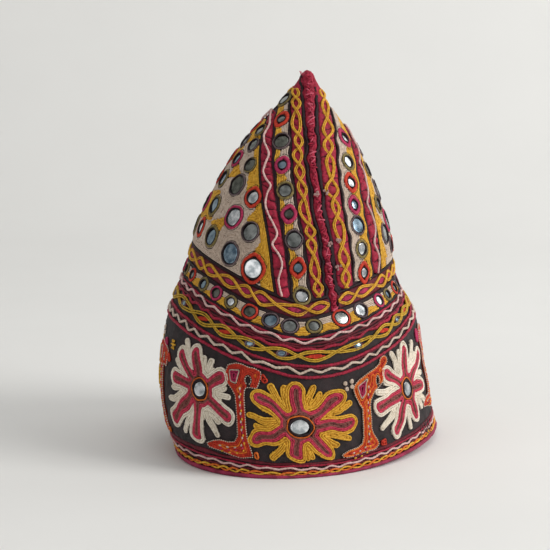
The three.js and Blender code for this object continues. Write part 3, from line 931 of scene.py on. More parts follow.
def put_mirror_strip(end, side, near, far):
    """A row of mirrors along a strip, with cream rows on one side of them and yellow on the other."""
    region = f"mirror_strip_{end}_{side}"
    strip = Strip(side, end, near, far)
    mirrors = []
    mirror_along = []
    for i, (height, color, tint) in enumerate(strip_mirror_list(end, side, strip)):
        mirror_along.append(strip.along_of(height))
        angle, height = strip.place(mirror_along[-1], strip.middle)
        outer = 5.7 - (0.3 if i % 2 else 0)
        glass = outer - {"grey": 1.2, "olive": 2.0}.get(color, 2.9)
        flare = 0.3 if color in ("red", "magenta") else 0.08
        mirrors.append(put_framed_mirror(region, float(angle), float(height), outer, glass, color, tint,
                                         flare=flare, seed=400 + i))
    along = np.linspace(0, strip.length, int(strip.length / 0.45))
    s, distance = np.meshgrid(along, np.linspace(near, far, 34), indexing="ij")
    closeness = np.exp(-((along[:, None] - np.array(mirror_along)) / 5.5) ** 2).max(axis=1)
    inset = 2.3 - 1.3 * closeness + 0.2 * ripple(along, 12, 5)
    angles, heights = strip.place(s, distance)
    from_near = distance - near - inset[:, None]
    from_far = far - distance - inset[:, None]
    beyond = np.minimum.reduce([half_side(heights) - distance, s, strip.length - s])

    def color_of(angle, height):
        sway = 1.7 * np.sin(strip.along_of(height) * math.pi / 14.6)
        return np.where(distance_from_seam(angle, height) > strip.middle + sway, "yellow", "cream")

    from_edges = {"yellow": np.minimum(from_far, beyond), "cream": np.minimum(from_near, beyond)}
    put_two_color_fill(region, angles, heights, mirrors, from_edges, color_of)
    # Dark cords along both edges: partly black thread and partly painted shade in the valleys between the
    # strips.
    for edge, way in ((near, 1), (far, -1)):
        put_strip_cord(f"crown_edges_dark_{end}", strip, along, edge + way * np.maximum(inset - 0.85, 0.2),
                       width=1.9, thick=0.8, lift=0.35, seed=9)


def put_wave_strip(end, side, near, far):
    """A pad with one waving cord, and a dark row along its outer edge, partly black thread and partly painted
    shade in the valley there.
    """
    strip = Strip(side, end, near, far)
    seed = 80 + len(end) * 3 + len(side)
    put_strip_pad(f"wave_pad_{end}_{side}", strip, near + 0.9, far - 0.7, 1.9, seed)
    along = np.linspace(0, strip.length, 700)
    swing = np.sin(WHOLE_TURN * along / 26 + 0.6 * ripple(along, 45, seed))
    size = 2.3 * (1 + 0.2 * ripple(along, 30, seed + 1))
    wave = 0.6 * swing + 0.4 * (2 / math.pi) * np.arcsin(0.97 * swing)
    put_strip_cord(f"wave_cord_{end}_{side}", strip, along, strip.middle + size * wave, width=1.45,
                   thick=1.0, lift=1.75, stitch=2.0, seed=seed)
    # The dark row is partly black thread and partly painted shade in the valley beside the strip.
    put_strip_cord(f"crown_edges_dark_{end}", strip, along, far - 0.1, width=2.2, thick=0.8, lift=0.35,
                   seed=seed)


def put_crown_strips():
    """The chain, mirror and wave strips on both sides of both ends of the seam."""
    for side, edges in STRIP_EDGES.items():
        for end in ENDS:
            for put_strip, near, far in zip((put_chain_strip, put_mirror_strip, put_wave_strip),
                                            edges, edges[1:]):
                put_strip(end, side, near, far)


# ---------------------------------------------------------------- seam and base chain

SEAM_BOTTOM, SEAM_TOP = 101, 240.5
# Clusters of knots on the seam: angle in degrees and height.
SEAM_KNOTS = [(8.5, 170.5), (16, 171.5), (15.5, 142.5), (21, 144), (21, 129)]


def put_seam(end):
    """A rough ridge of crimson stitches over one end of the crown's seam."""
    turned = 0 if end == "front" else math.pi
    heights = np.linspace(SEAM_BOTTOM, SEAM_TOP, 520)
    along = path_lengths(skin(seam_angle(heights) + turned, heights))
    total = along[-1]

    def across_seam(x, height):
        """The angle at a distance across the seam."""
        return seam_angle(height) + turned + x / level_means(height)[0]

    s = np.arange(0, total, 0.7)
    grid_s, across = np.meshgrid(s, np.linspace(-1, 1, 11), indexing="ij")
    height = np.interp(grid_s, along, heights)
    ridge_half = 2.4 + 0.45 * ripple(s, 12, 101) + 1.3 * smoothstep(height[:, 0], 200, 235)
    half = np.minimum(ridge_half, half_side(height[:, 0]) * 0.9)[:, None]
    waver = 0.6 * ripple(s, 24, 106)[:, None] * smoothstep(240 - height, 0, 20)
    rough = ripple(np.stack([grid_s, across * 2.5], -1), 4.2, 102) * 0.7
    puff = dome(across) * (1.5 + rough)
    put_sheet(f"seam_ridge_{end}", across_seam(across * half + waver, height), height,
              np.maximum(puff, 0) + 0.2, PAD_BACK)

    draw = np.random.default_rng(103 + len(end))
    at = 1.0
    way = 1
    while at < total - 1:
        reach = draw.uniform(1.0, 2.7)
        slope = draw.uniform(-0.6, 3.0) * way
        x = np.linspace(-reach, reach, 12)
        y = np.interp(at + x * slope / reach, along, heights)
        # About a third of the stitches are rose: partly a paler thread and partly painted highlight on the
        # ridge's loops.
        color = "rose" if draw.random() < 0.35 else "crimson"
        lifts = 1.25 + 0.7 * np.sqrt(np.maximum(1 - (x / 2.7) ** 2, 0))
        put_cord(f"seam_stitches_{color}_{end}", across_seam(x, y), y, width=1.15, thick=0.8,
                 lift=lifts, stitch=1.6, step=0.45, seed=int(at))
        at += draw.uniform(0.8, 2.8)
        way = -way

    gap = np.minimum(np.interp(along, s, ridge_half) + 1.25, half_side(heights) * 0.97)
    shift = 0.6 * ripple(along, 24, 106) * smoothstep(240 - heights, 0, 20)
    # Dark cords beside the ridge: partly dark thread and partly painted shade in the valleys on each side.
    for way in (-1, 1):
        put_cord(f"crown_edges_dark_{end}", across_seam(way * gap + shift, heights), heights, width=2.3,
                 thick=0.8, lift=0.35, seed=104)


def put_knots():
    """Small clusters of pale knots left on the seam."""
    draw = np.random.default_rng(110)
    for degrees, height in SEAM_KNOTS:
        for _ in range(5):
            middle = draw.normal(0, 0.9, 2)
            size = draw.uniform(0.35, 0.6)
            put_loop("seam_knots", degrees, height, middle, (size, size), width=0.95, thick=0.9, lift=2.0,
                     stitch=1.2, step=0.3, seed=3)


def put_base_chain(side):
    """The padded lattice of crossing cords along one side of the crown's lower edge."""
    sign = SIGNS[side]
    near = 3.0
    u = np.linspace(0.0, 1.0, 1400)
    angle, height = crown_edge(sign, u, near, BASE_CHAIN_WIDTH / 2)
    along = path_lengths(skin(angle, height))
    total = along[-1]
    t = np.linspace(-1, 1, 11)
    rows = [crown_edge(sign, u, near, BASE_CHAIN_WIDTH * (0.5 + 0.38 * v)) for v in t]
    angles, heights = np.array(rows).transpose(1, 0, 2)[..., ::2]
    puff = dome(t)[:, None] * (1.1 + 0.25 * ripple(skin(angles, heights), 8, 121))
    put_sheet(f"base_pad_{side}", angles, heights, 0.15 + puff, PAD_BACK)

    eyes = round(total / 16)
    phase = math.pi * eyes * along / total + 0.4 * ripple(along, 60, 122)
    swing = 2.9 * (1 + 0.1 * ripple(along, 40, 123))
    for way in (-1, 1):
        for row in (-0.48, 0.48):
            clearance = BASE_CHAIN_WIDTH / 2 + way * swing * np.sin(phase) + row
            put_cord(f"base_chain_cords_{side}", *crown_edge(sign, u, near, clearance), width=1.0,
                     thick=0.95, lift=1.15 + 0.4 * way * np.cos(phase), stitch=1.9, seed=124)
    for clearance in (0.6, BASE_CHAIN_WIDTH - 0.5):
        put_cord(f"base_edges_dark_{side}", *crown_edge(sign, u, near, clearance), width=2.2, thick=0.9,
                 lift=0.4, seed=125)
    # Magenta lozenges lie inside the eyes.
    for i in range(eyes):
        middle = np.interp(math.pi * (i + 0.5), phase, along)
        for reach, up in ((4.2, 0.0), (3.0, 0.95), (3.0, -0.95)):
            x = np.linspace(middle - reach, middle + reach, 12)
            rise = up * (1 - ((x - middle) / (reach + 1)) ** 2)
            put_cord(f"base_chain_eyes_{side}", np.interp(x, along, angle),
                     np.interp(x, along, height) + rise, width=1.2, thick=0.8, lift=0.95, seed=i)


# ---------------------------------------------------------------- crown fields

# Mirrors of the left field in view: distance from the seam, height, outer radius of the ring,
# glass radius, ring colour and glass tint, which is partly the glass's own and partly painted
# reflection.
FIELD_MIRRORS = [
    (49, 123.5, 8.4, 5.8, "red", "bright"), (66, 130, 7.2, 6.0, "grey", "blue"),
    (85, 137, 7.0, 4.8, "olive", "blue"), (105, 139.5, 6.0, 3.8, "red", "bright"),
    (48, 145, 6.2, 5.2, "grey", "grey"), (60.5, 151.5, 7.6, 5.3, "magenta", "bright"),
    (84, 154.5, 6.8, 4.6, "olive", "blue"), (42.5, 165, 6.3, 3.9, "red", "bright"),
    (56.4, 170, 7.0, 5.8, "grey", "dark"), (77, 171, 6.0, 4.4, "olive", "blue"),
    (44, 183, 4.9, 4.0, "olive", "dark"), (61, 184.5, 5.8, 3.6, "magenta", "blue"),
    (43, 194.5, 4.7, 3.7, "grey", "grey"), (64, 195, 4.9, 3.9, "grey", "grey"),
    (38.5, 203.5, 4.6, 3.4, "olive", "grey")]
# Middles of the areas of each colour: distance from the seam and height.
COLOR_SPOTS = {
    "yellow": [(42, 153), (41, 134), (43, 116), (43, 174), (62, 177), (50, 200), (92, 150), (68, 188),
               (77, 146), (95, 160)],
    "cream": [(56, 146), (53, 138), (60, 120), (75, 151), (50, 172), (66, 170), (70, 177), (52, 190),
              (50, 184), (57, 199), (86, 166), (74, 133), (57, 128), (98, 140), (71, 160), (68, 142),
              (52, 160), (90, 136), (49, 138), (48, 158)]}
MORE_MIRROR_TRIES = 1500


def put_field_mirrors(side, near, shift, tip):
    """The mirrors in view, the same ones moved a little at the back, and more where there is room."""
    sign = SIGNS[side]
    draw = np.random.default_rng(130 + len(side))
    mirrors = []

    def is_inside(end, distance, height, outer):
        if distance > half_side(height) or height > tip:
            return False
        bottom = float(crown_bottom(sign, end, np.array(distance), BASE_CHAIN_WIDTH))
        return distance - outer > near + 1.0 and height - outer > bottom + 1.2

    def try_mirror(end, distance, height, outer, glass, color, tint, slack=0.6, checked=True):
        if checked and not is_inside(end, distance, height, outer):
            return
        angle = float(crown_angle(sign, end, distance, height))
        point = skin(angle, height)
        if any(np.linalg.norm(point - centre) < outer + radius + slack for centre, radius in mirrors):
            return
        mirrors.append((point, outer))
        put_framed_mirror(f"field_{side}", angle, height, outer, glass, color, tint,
                          flare=0.15 if color == "red" else 0.0, seed=500 + len(mirrors))

    for distance, height, *frame_facts in FIELD_MIRRORS:
        try_mirror("front", distance + shift, height, *frame_facts, slack=-0.5, checked=side != "left")
    for i, (distance, height, outer, glass, _, _) in enumerate(FIELD_MIRRORS):
        try_mirror("back", distance + shift + draw.uniform(-1.5, 1.5), height + draw.uniform(-2, 2),
                   outer, glass, RING_CYCLE[(i * 5) % 8], TINT_AND_REFLECTION_CYCLE[(i * 3) % 7])
    for _ in range(MORE_MIRROR_TRIES):
        end = ENDS[int(draw.integers(2))]
        height = draw.uniform(112, tip)
        distance = draw.uniform(near, float(half_side(height)))
        outer = draw.uniform(4.6, 6.6)
        color, tint = RING_CYCLE[int(draw.integers(8))], TINT_AND_REFLECTION_CYCLE[int(draw.integers(7))]
        glass = outer - (1.2 if color == "grey" else 1.9)
        if end == "back" or side == "right" or distance > 94:
            try_mirror(end, distance, height, outer, glass, color, tint, slack=1.4)
    return mirrors


def put_field(side):
    """One side's triangle of yellow and cream rows round mirrors, above the strips and the chain."""
    sign = SIGNS[side]
    near = STRIP_EDGES[side][-1]
    shift = near - STRIP_EDGES["left"][-1]
    tip = float(meeting_height(near + 3.0))
    mirrors = put_field_mirrors(side, near, shift, tip)
    u, v = np.meshgrid(np.linspace(0, 1, 330), np.linspace(0, 1, 230))
    _, bottom = crown_edge(sign, u, near, BASE_CHAIN_WIDTH, guess=110.0)
    height = bottom + (tip - bottom) * v
    angle = span_angle(sign, u, near, height)
    points = skin(angle, height)
    whole = 2 * half_side(height)
    from_edge = np.minimum(u, 1 - u) * (1 - 2 * np.minimum(near / whole, 0.5)) * whole
    from_bottom = np.linalg.norm(points - points[:1], axis=-1)
    gap = np.minimum(nearest_gap(points, mirrors), np.minimum(from_edge, from_bottom) - 0.9)

    spots = [(skin(crown_angle(sign, end, distance + shift, spot_height), spot_height), color)
             for color, places in COLOR_SPOTS.items() for distance, spot_height in places for end in ENDS]
    spot_points = np.array([point for point, _ in spots])
    spot_colors = np.array([color for _, color in spots])

    def color_of(a, h):
        apart = np.linalg.norm(skin(a, h)[:, None] - spot_points[None], axis=2)
        color = spot_colors[apart.argmin(axis=1)]
        distance = distance_from_seam(a, h)
        color = np.where(distance < near + 5.5, "yellow", color)
        rise = h - band_top(a) - BASE_CHAIN_WIDTH
        return np.where((rise < 6) & (distance > near + 9), "cream", color)

    put_underlay(f"field_{side}", angle, height, gap, color_of, coarse=2)
    put_fill(f"field_{side}", angle, height, gap, 1.0, color_of)


# ---------------------------------------------------------------- flat motifs

class Motif:
    """A design drawn on a flat grid of millimetres round a spot on the band."""

    def __init__(self, name, degrees, height, xs, ys):
        self.name = name
        self.angle, self.height = math.radians(degrees), height
        self.xs, self.ys = xs, ys
        self.x, self.y = np.meshgrid(xs, ys)
        self.angles, self.heights = local_place(self.angle, height, self.x, self.y)

    def zone(self, low_margin, high_margin):
        """The cells between the hem's rows and the rows over the flowers."""
        over_hem = self.heights > hem_rows_top(self.angles) + low_margin
        return over_hem & (self.heights < flowers_top(self.angles) - high_margin)

    def path(self, line):
        """A line of (row, column) as one of (x, y)."""
        return np.stack([np.interp(line[:, 1], np.arange(len(self.xs)), self.xs),
                         np.interp(line[:, 0], np.arange(len(self.ys)), self.ys)], -1)

    def picked(self, cells, path):
        """Whether each point of a path lies in one of some cells."""
        step_x, step_y = self.xs[1] - self.xs[0], self.ys[1] - self.ys[0]
        j = np.clip(np.round((path[:, 0] - self.xs[0]) / step_x).astype(int), 0, len(self.xs) - 1)
        i = np.clip(np.round((path[:, 1] - self.ys[0]) / step_y).astype(int), 0, len(self.ys) - 1)
        return cells[i, j]

    def put_ground(self, color, cells):
        """A thin ground of one colour under the rows."""
        put_patch(f"{self.name}_{color}", self.angles[::2, ::2], self.heights[::2, ::2], 0.6,
                  whole_cells(cells[::2, ::2]))

    def put_rows(self, color, field, levels, cells, **how):
        """Laid rows of thread along levels of a grid of values, in some cells only."""
        for level in levels:
            for line, closed in level_lines(field, level):
                path = self.path(line)
                for run, whole in runs(path, self.picked(cells, path), closed):
                    put_cord(f"{self.name}_{color}", *self.place(run), closed=whole, **how)

    def put_dashes(self, color, path, pitch, length, width, lift):
        """Short stitches along a flat path."""
        path = np.asarray(path, float)
        along = path_lengths(path)
        for at in np.arange(pitch / 2, along[-1] - length / 2, pitch):
            s = np.linspace(at - length / 2, at + length / 2, 6)
            dash = np.stack([np.interp(s, along, column) for column in path.T], -1)
            put_cord(f"{self.name}_{color}", *self.place(dash), width=width, thick=0.7, lift=lift,
                     stitch=length + 0.1, step=0.35, wander=0)

    def place(self, path):
        """Angles and heights of a flat path."""
        return local_place(self.angle, self.height, path[:, 0], path[:, 1])


# ---------------------------------------------------------------- flowers

# Rays, as direction in degrees and length to the crimson tip, and the fingers between them.
YELLOW_RAYS = [(141, 32.5), (90, 25.5), (33, 33.5), (-2, 35.5), (-51, 24), (-112, 22), (-166, 33.5)]
YELLOW_FINGERS = [(122, 33), (107, 28), (67, 29), (53, 26), (19, 38), (167, 34), (-19, 33), (-34, 28),
                  (-139, 32), (-92, 22), (-80, 22), (180, 30)]
LEFT_RAYS = [(136, 30), (102, 25.5), (31, 22), (-37, 27.5), (-103, 34), (-142, 39.5), (172, 29)]
LEFT_FINGERS = [(120, 33), (150, 31), (80, 22), (64, 23), (-5, 25), (11, 22), (-70, 31), (-56, 25),
                (-122, 37), (-160, 37), (-175, 31)]
RIGHT_RAYS = [(87, 30), (32, 36), (-7, 30), (-72, 24), (-133, 35), (-171, 38), (145, 28)]
RIGHT_FINGERS = [(118, 33), (103, 29), (60, 35), (47, 30), (10, 32), (-28, 31), (-42, 27), (-103, 29),
                 (-152, 42), (172, 35), (158, 28)]

# Angle in degrees, height, rays, fingers, half sizes of the mirror and scale of the rays.
FLOWERS = [
    (-156, 44, LEFT_RAYS, LEFT_FINGERS, (4.8, 4.8), 0.95),
    (-108, 47, YELLOW_RAYS, YELLOW_FINGERS, (5.0, 4.6), 0.85),
    (-46.5, 51, LEFT_RAYS, LEFT_FINGERS, (4.6, 4.6), 1.0),
    (-3, 31.8, YELLOW_RAYS, YELLOW_FINGERS, (6.0, 4.5), 1.0),
    (51.7, 42, RIGHT_RAYS, RIGHT_FINGERS, (4.6, 4.8), 1.0),
    (104, 46, YELLOW_RAYS, YELLOW_FINGERS, (5.2, 4.8), 0.9),
    (156, 40, RIGHT_RAYS, RIGHT_FINGERS, (4.8, 4.8), 0.95)]
CRIMSON_REACH = 3.4
ROW = 1.2
BORDER_ROWS = 2
BORDER_START = CRIMSON_REACH + 0.65
BORDER_END = BORDER_START + BORDER_ROWS * ROW


def distance_to_ray(x, y, direction, start, stop, taper=0.0):
    """The distance to the middle line of a ray, which may narrow towards its tip."""
    turn = math.radians(direction)
    along = x * math.cos(turn) + y * math.sin(turn)
    across = -x * math.sin(turn) + y * math.cos(turn)
    past = along - np.clip(along, start, stop)
    return np.hypot(past, across) + taper * smoothstep(along, stop - 10, stop)


def put_flower(number, degrees, height, rays, fingers, glass, scale):
    """Rays outlined in crimson, a border round them and fingers of thread between them."""
    name = f"flower_{number}"
    rx, ry = glass
    motif = Motif(name, degrees, height, np.arange(-50, 50.01, 0.5), np.arange(-42, 42.01, 0.5))
    flat = np.stack([motif.x, motif.y], -1)
    x = motif.x + 0.8 * ripple(flat, 22, number)
    y = motif.y + 0.8 * ripple(flat, 22, number + 40)
    star = np.min([distance_to_ray(x, y, direction, 6, reach * scale - CRIMSON_REACH)
                   for direction, reach in rays], axis=0)
    hub_gap = (np.hypot(x / (rx + 4), y / (ry + 4)) - 1) * (rx + 4)
    star = np.minimum(star, np.maximum(hub_gap + 1.4, -3))
    each = np.array([distance_to_ray(x, y, direction, 10, reach * scale - 2.6, taper=0.35)
                     for direction, reach in fingers])
    nearest = each.min(axis=0)
    web = np.hypot(x, y) - 0.62 * scale * np.mean([reach for _, reach in rays])
    in_zone = motif.zone(0.3, 0.6) & (np.hypot(motif.x / (rx + 3), motif.y / (ry + 3)) > 1)

    def put_rows(color, field, levels, cells=True, thick=1.05, seed=0):
        motif.put_rows(color, field, levels, in_zone & cells, width=1.28, thick=thick, lift=0.62,
                       seed=number + seed)

    put_rows("core", star, (-1.9, -0.9, 0.1, 0.98), thick=0.75)
    put_rows("cerise", star, (1.85, 2.8), seed=1)
    put_rows("border", star, BORDER_START + ROW * np.arange(BORDER_ROWS), seed=2)
    put_rows("border", star, BORDER_END + ROW * np.arange(6), (web < 0) & (nearest > 3.0), seed=3)
    for i, finger in enumerate(each):
        cells = (star > BORDER_END - 0.4) & (finger <= nearest + 0.01)
        put_rows("border", finger, (0.65, 1.85), cells, seed=4 + i)
    petals = np.minimum(np.minimum(star - BORDER_END + 0.5, nearest - 2.5), web)
    motif.put_ground("border", in_zone & (petals < 0) & (star > CRIMSON_REACH - 0.4))
    motif.put_ground("cerise", in_zone & (star > 1.0) & (star < CRIMSON_REACH + 0.4))
    motif.put_ground("core", in_zone & (star < 1.6))
    put_mirror(f"{name}_glass", motif.angle, height, rx + 0.3, ry + 0.3, seed=600 + number)
    put_ring(f"{name}_ring_dark", motif.angle, height, rx + 0.9, ry + 0.9, width=1.9, thick=1.2, lift=0.9,
             seed=number)
    put_ring(f"{name}_ring_orange", motif.angle, height, rx + 2.3, ry + 2.3, width=1.2, thick=1.0, lift=0.6,
             seed=number + 1)


# ---------------------------------------------------------------- birds

# Outlines of the two birds, measured from the middle of the column: body, crest core, hole through
# the curl (middle and half sizes), the small marks beside it, and the stitched middle line.
BIRD_A = {
    "body": [(-9.5, 24.5), (-7.5, 30), (-2, 31.5), (2, 31), (6, 29.5), (10, 29), (14, 27), (14, 23),
             (11.5, 16.5), (8, 17), (5, 17), (3.7, 15), (3.4, 10.5), (3.3, 4), (3, -2), (2.2, -8),
             (1.8, -14.5), (2.2, -19), (2.2, -26.5), (-5.5, -27.5), (-10.5, -26.5), (-18, -24.3),
             (-27, -22.8), (-28, -20.5), (-22, -18.2), (-17, -17.2), (-12, -18), (-7, -17.5),
             (-4.2, -13.5), (-3.2, -8), (-2.3, -1), (-2, 4), (-2.2, 11.5), (-4.5, 15.5), (-6, 17),
             (-9, 20.5)],
    "core": [(-6, 26.5), (0, 27), (-2, 19.5), (-5, 20.5)],
    "hole": (6, 21.5, 2.0, 2.7),
    "marks": {"red": [(14.5, 27), (19, 21.5), (16.5, 19.5), (13.5, 22)],
              "orange": [(3, -23.5), (6, -23), (5.5, -28), (3, -28)]},
    "line": [(1.2, 18.5), (0.6, 12), (0.6, 2.5), (-0.4, -6.5), (-1.2, -15), (-3, -19.5), (-9, -21.5),
             (-20, -20.5)],
    # Bird A's rows are redder than bird B's: partly the birds' own colours and partly painted shade, as bird
    # A sat in shade.
    "rows": ("red", "red", "orange", "red", "red")}
BIRD_B = {
    "body": [(16.2, 27), (16.8, 29.8), (18.9, 31.4), (21.5, 31.2), (23.3, 29.4), (23.3, 26.8),
             (21.6, 25), (20.2, 24.2), (20, 21), (19.5, 18.5), (18.5, 14.5), (15, 12), (11, 10.2),
             (8.5, 7.5), (6.3, 5), (5, 2), (4.4, -2.5), (3.8, -7.5), (2.8, -13), (3.4, -17),
             (5.5, -21.5), (6, -24.5), (2, -27), (-8, -27), (-17, -28.3), (-24, -28), (-25, -26),
             (-19, -24), (-12, -23.2), (-7.5, -21.5), (-5, -17.5), (-3.7, -11.5), (-2.8, -5.5),
             (-1.7, 0.5), (-3.3, 3.5), (-5, 8), (-6.3, 13), (-5.3, 16), (-1.5, 19), (5, 22),
             (12, 24.6)],
    "core": [(5, 18.5), (-2.5, 14.5), (-0.8, 7), (2.4, 10), (3.4, 15.5)],
    "hole": (14, 16.3, 1.5, 3.0),
    "marks": {"red": [(8, -23), (13.5, -22), (13, -27), (7.5, -26.5)],
              "magenta": [(18.9, 28), (20, 29.2), (21.1, 28), (20, 26.8)]},
    "line": [(6, 16), (4.5, 9), (2, -1), (0.2, -10.5), (-0.8, -18.5), (-4, -23.5), (-11, -25.6),
             (-20, -26.2)],
    "rows": ("orange", "red", "orange", "red", "orange")}
# Angle in degrees, outlines and how far a bird sits over the birds' common height.
BIRDS = [(-132, BIRD_B, 4), (-81, BIRD_A, 3), (-27, BIRD_A, 0), (25.5, BIRD_B, -1), (79.5, BIRD_A, 7),
         (130, BIRD_B, 2)]
BIRD_HEIGHT = 39


def polygon_depth(x, y, corners):
    """How far inside a polygon each point lies; negative outside."""
    corners = np.asarray(corners, float)
    best = np.full(x.shape, 1e9)
    inside = np.zeros(x.shape, bool)
    for (x0, y0), (x1, y1) in zip(corners, np.roll(corners, -1, axis=0)):
        dx, dy = x1 - x0, y1 - y0
        t = np.clip(((x - x0) * dx + (y - y0) * dy) / (dx * dx + dy * dy), 0, 1)
        best = np.minimum(best, np.hypot(x - x0 - t * dx, y - y0 - t * dy))
        crosses = (y0 > y) != (y1 > y)
        span = np.where(crosses, y1 - y0, 1)
        inside ^= crosses & (x < (x1 - x0) * (y - y0) / span + x0)
    return np.where(inside, best, -best)


def put_bird(number, degrees, bird, raise_by):
    """A bird filled with rows that follow its outline, with stitches along its edge and middle."""
    motif = Motif(f"bird_{number}", degrees, BIRD_HEIGHT + raise_by, np.arange(-34, 26.01, 0.4),
                  np.arange(-34, 36.01, 0.4))
    x, y = motif.x, motif.y
    in_zone = motif.zone(0.2, 0.3)
    hole_x, hole_y, hole_rx, hole_ry = bird["hole"]
    hole = (np.hypot((x - hole_x) / hole_rx, (y - hole_y) / hole_ry) - 1) * (hole_rx + hole_ry) / 2
    core = polygon_depth(x, y, bird["core"])
    body = polygon_depth(x, y, bird["body"])
    depth = np.minimum(np.minimum(body, hole - 0.4), -core - 0.7)

    def put_rows(color, field, levels, width=1.25, lift=0.62):
        motif.put_rows(color, field, levels, in_zone, width=width, thick=1.0, lift=lift, seed=number)

    for i, color in enumerate(bird["rows"]):
        put_rows(color, depth, [0.75 + 1.1 * i])
    motif.put_ground("red", in_zone & (depth > 0.3))
    put_rows("magenta", core, (0.4, 1.4), width=1.2, lift=0.7)
    put_rows("cream", core, [-0.35], width=0.8, lift=0.8)
    for line, _ in level_lines(np.where(in_zone, np.minimum(body, hole), -1), 0.0):
        motif.put_dashes("cream", motif.path(line), 1.5, 1.2, width=0.75, lift=0.9)
    for i, color in enumerate(("cream", "magenta", "yellow")):
        shifted = [(px + 0.2 * i, py - i * 1.7) for px, py in bird["line"]]
        motif.put_dashes(color, shifted, 5.1, 2.0, width=1.2, lift=1.3)
    for color, outline in bird["marks"].items():
        put_rows(color, polygon_depth(x, y, outline), (0.6, 1.6))


# ---------------------------------------------------------------- small motifs

# Angles in degrees and heights.
CREAM_DOTS = [(18.3, 56), (21.3, 56.8), (21.3, 53.4), (18.8, 52.4), (-84.5, 79), (-83.5, 76)]
YELLOW_STARS = [(-68.5, 72.5), (82, 74), (-160, 66)]
MAGENTA_OVALS = [(-77.5, 70), (70.5, 73), (-120, 76)]


def put_dot(piece, degrees, height, size):
    """A dot of coiled thread."""
    put_loop(piece, degrees, height, (0, 0), (size / 2, size / 2), width=size * 1.05, thick=0.9, lift=0.5,
             stitch=1.5, step=0.3)


def put_small_motifs():
    """Dots, stars and ovals between the birds and the flowers."""
    for degrees, height in CREAM_DOTS:
        put_dot("small_motifs_cream", degrees, height, 1.6)
    for degrees, height in YELLOW_STARS:
        put_dot("small_motifs_yellow", degrees, height, 1.3)
        reach = np.linspace(1.3, 3.6, 8)
        for turn in np.radians(np.arange(0, 360, 60)):
            ray = local_place(math.radians(degrees), height, reach * math.cos(turn), reach * math.sin(turn))
            put_cord("small_motifs_yellow", *ray, width=1.3, thick=0.9, lift=0.5)
    for degrees, height in MAGENTA_OVALS:
        for size in (0.8, 2.0, 3.1):
            put_loop("small_motifs_magenta", degrees, height, (0, 0), (size, size * 1.4), points=40,
                     width=1.25, thick=0.9, lift=0.5)


# ---------------------------------------------------------------- hem and point

def put_hem_binding():
    """Magenta cloth folded round the band's lower edge."""
    turns = np.radians(np.arange(0, 360, 0.6))
    top = hem_level(turns, 0.22)
    # The binding's cross-section: offset from the cloth, and height as a part of its top.
    section = [
        (BINDING_OUTER - 1.4, 1.0), (BINDING_OUTER - 0.3, 0.8), (BINDING_OUTER + 0.1, 0.5),
        (BINDING_OUTER, 0.2), (BINDING_OUTER - 0.9, 0.0), (BINDING_INNER + 0.9, 0.0),
        (BINDING_INNER, 0.3), (BINDING_INNER + 0.2, 0.8), (BINDING_INNER + 0.8, 1.0),
        (BINDING_INNER + 1.4, 0.7), (BINDING_INNER + 1.6, 0.35), (BINDING_OUTER - 2.0, 0.35),
        (BINDING_OUTER - 1.8, 0.7)]
    rows = []
    for offset, part in section:
        heights = top * part
        bump = 0.15 * ripple(skin(turns, heights), 6, 140) if part > 0.1 else 0
        rows.append(shell_points(turns, heights, offset + bump + 0 * turns))
    faces = grid_quads(len(section), len(turns), wrap_rows=True, wrap_columns=True)
    put("hem_binding_cloth", rows, faces[:, ::-1])


def put_point_pad(side):
    """Crimson cloth gathered over one side of the crown's point."""
    height, u = np.meshgrid(np.linspace(226.5, 241, 30), np.linspace(0, 1, 40), indexing="ij")
    margin = np.minimum(3.4 / (2 * half_side(height)), 0.3)
    angle = span_angle(SIGNS[side], margin + u * (1 - 2 * margin), 0, height)
    from_edge = np.minimum(u, 1 - u) * 2
    folds = 0.5 + 0.5 * np.sin(u * 60 + 2 * np.sin(height / 3))
    puff = (0.6 if side == "left" else 1.1) * np.minimum(from_edge * 5, 1) ** 0.5 * (0.7 + 0.3 * folds)
    puff *= np.minimum((height - 226) / 2.5, 1)
    put_sheet(f"point_pad_{side}", angle, height, 0.25 + puff, PAD_BACK)


def put_point_tuft():
    """The cap's point: a blunt creased tuft of maroon cloth and a few frayed threads."""
    centre = (skin(0.0, 236.0) + skin(math.pi, 236.0)) / 2
    turns = np.linspace(0, WHOLE_TURN, 40, endpoint=False)
    low, high = skin(0.0, 233.0)[2], 243.6
    slope = 0.38
    rows = []
    for level in np.linspace(0, 1, 14):
        radius = 4.6 - 0.9 * level ** 1.5 - 2.4 * level ** 10
        crease = 1 + 0.08 * np.sin(turns * 7 + level * 4) + 0.04 * np.sin(turns * 13)
        x = radius * crease * np.cos(turns)
        y = radius * crease * np.sin(turns)
        z = low + (high - low) * level - slope * level * (x + radius)
        rows.append(np.stack([centre[0] + 1.3 * level + x, centre[1] + y, z], -1))
    put_rings("point_tuft_cloth", np.array(rows), rows[-1].mean(axis=0), rows[0].mean(axis=0))
    draw = np.random.default_rng(141)
    t = np.linspace(0, 1, 14)
    for _ in range(9):
        turn = math.radians(draw.uniform(-120, -20))
        lifts = 0.5 + draw.uniform(1.2, 2.6) * t ** 1.3
        angles = turn + draw.uniform(-0.5, 0.5) * t ** 2
        put_cord("point_threads_rose", angles, np.linspace(239, 241.5, 14), width=0.34, thick=0.34,
                 lift=lifts, step=0.3)


def put_loose_ends():
    """A few cut thread ends that hang over the hem on one side."""
    draw = np.random.default_rng(142)
    t = np.linspace(0, 1, 12)
    for degrees in (57, 59, 61.5, 63, 66):
        angles = np.radians(degrees + draw.uniform(-3, 3) * t ** 2)
        lifts = 0.8 + 4.0 * t ** 2 * draw.uniform(0.5, 1)
        put_cord("hem_threads_grey", angles, 13 - draw.uniform(5, 9) * t, width=0.45, thick=0.4,
                 lift=lifts, step=0.5)


# ---------------------------------------------------------------- materials

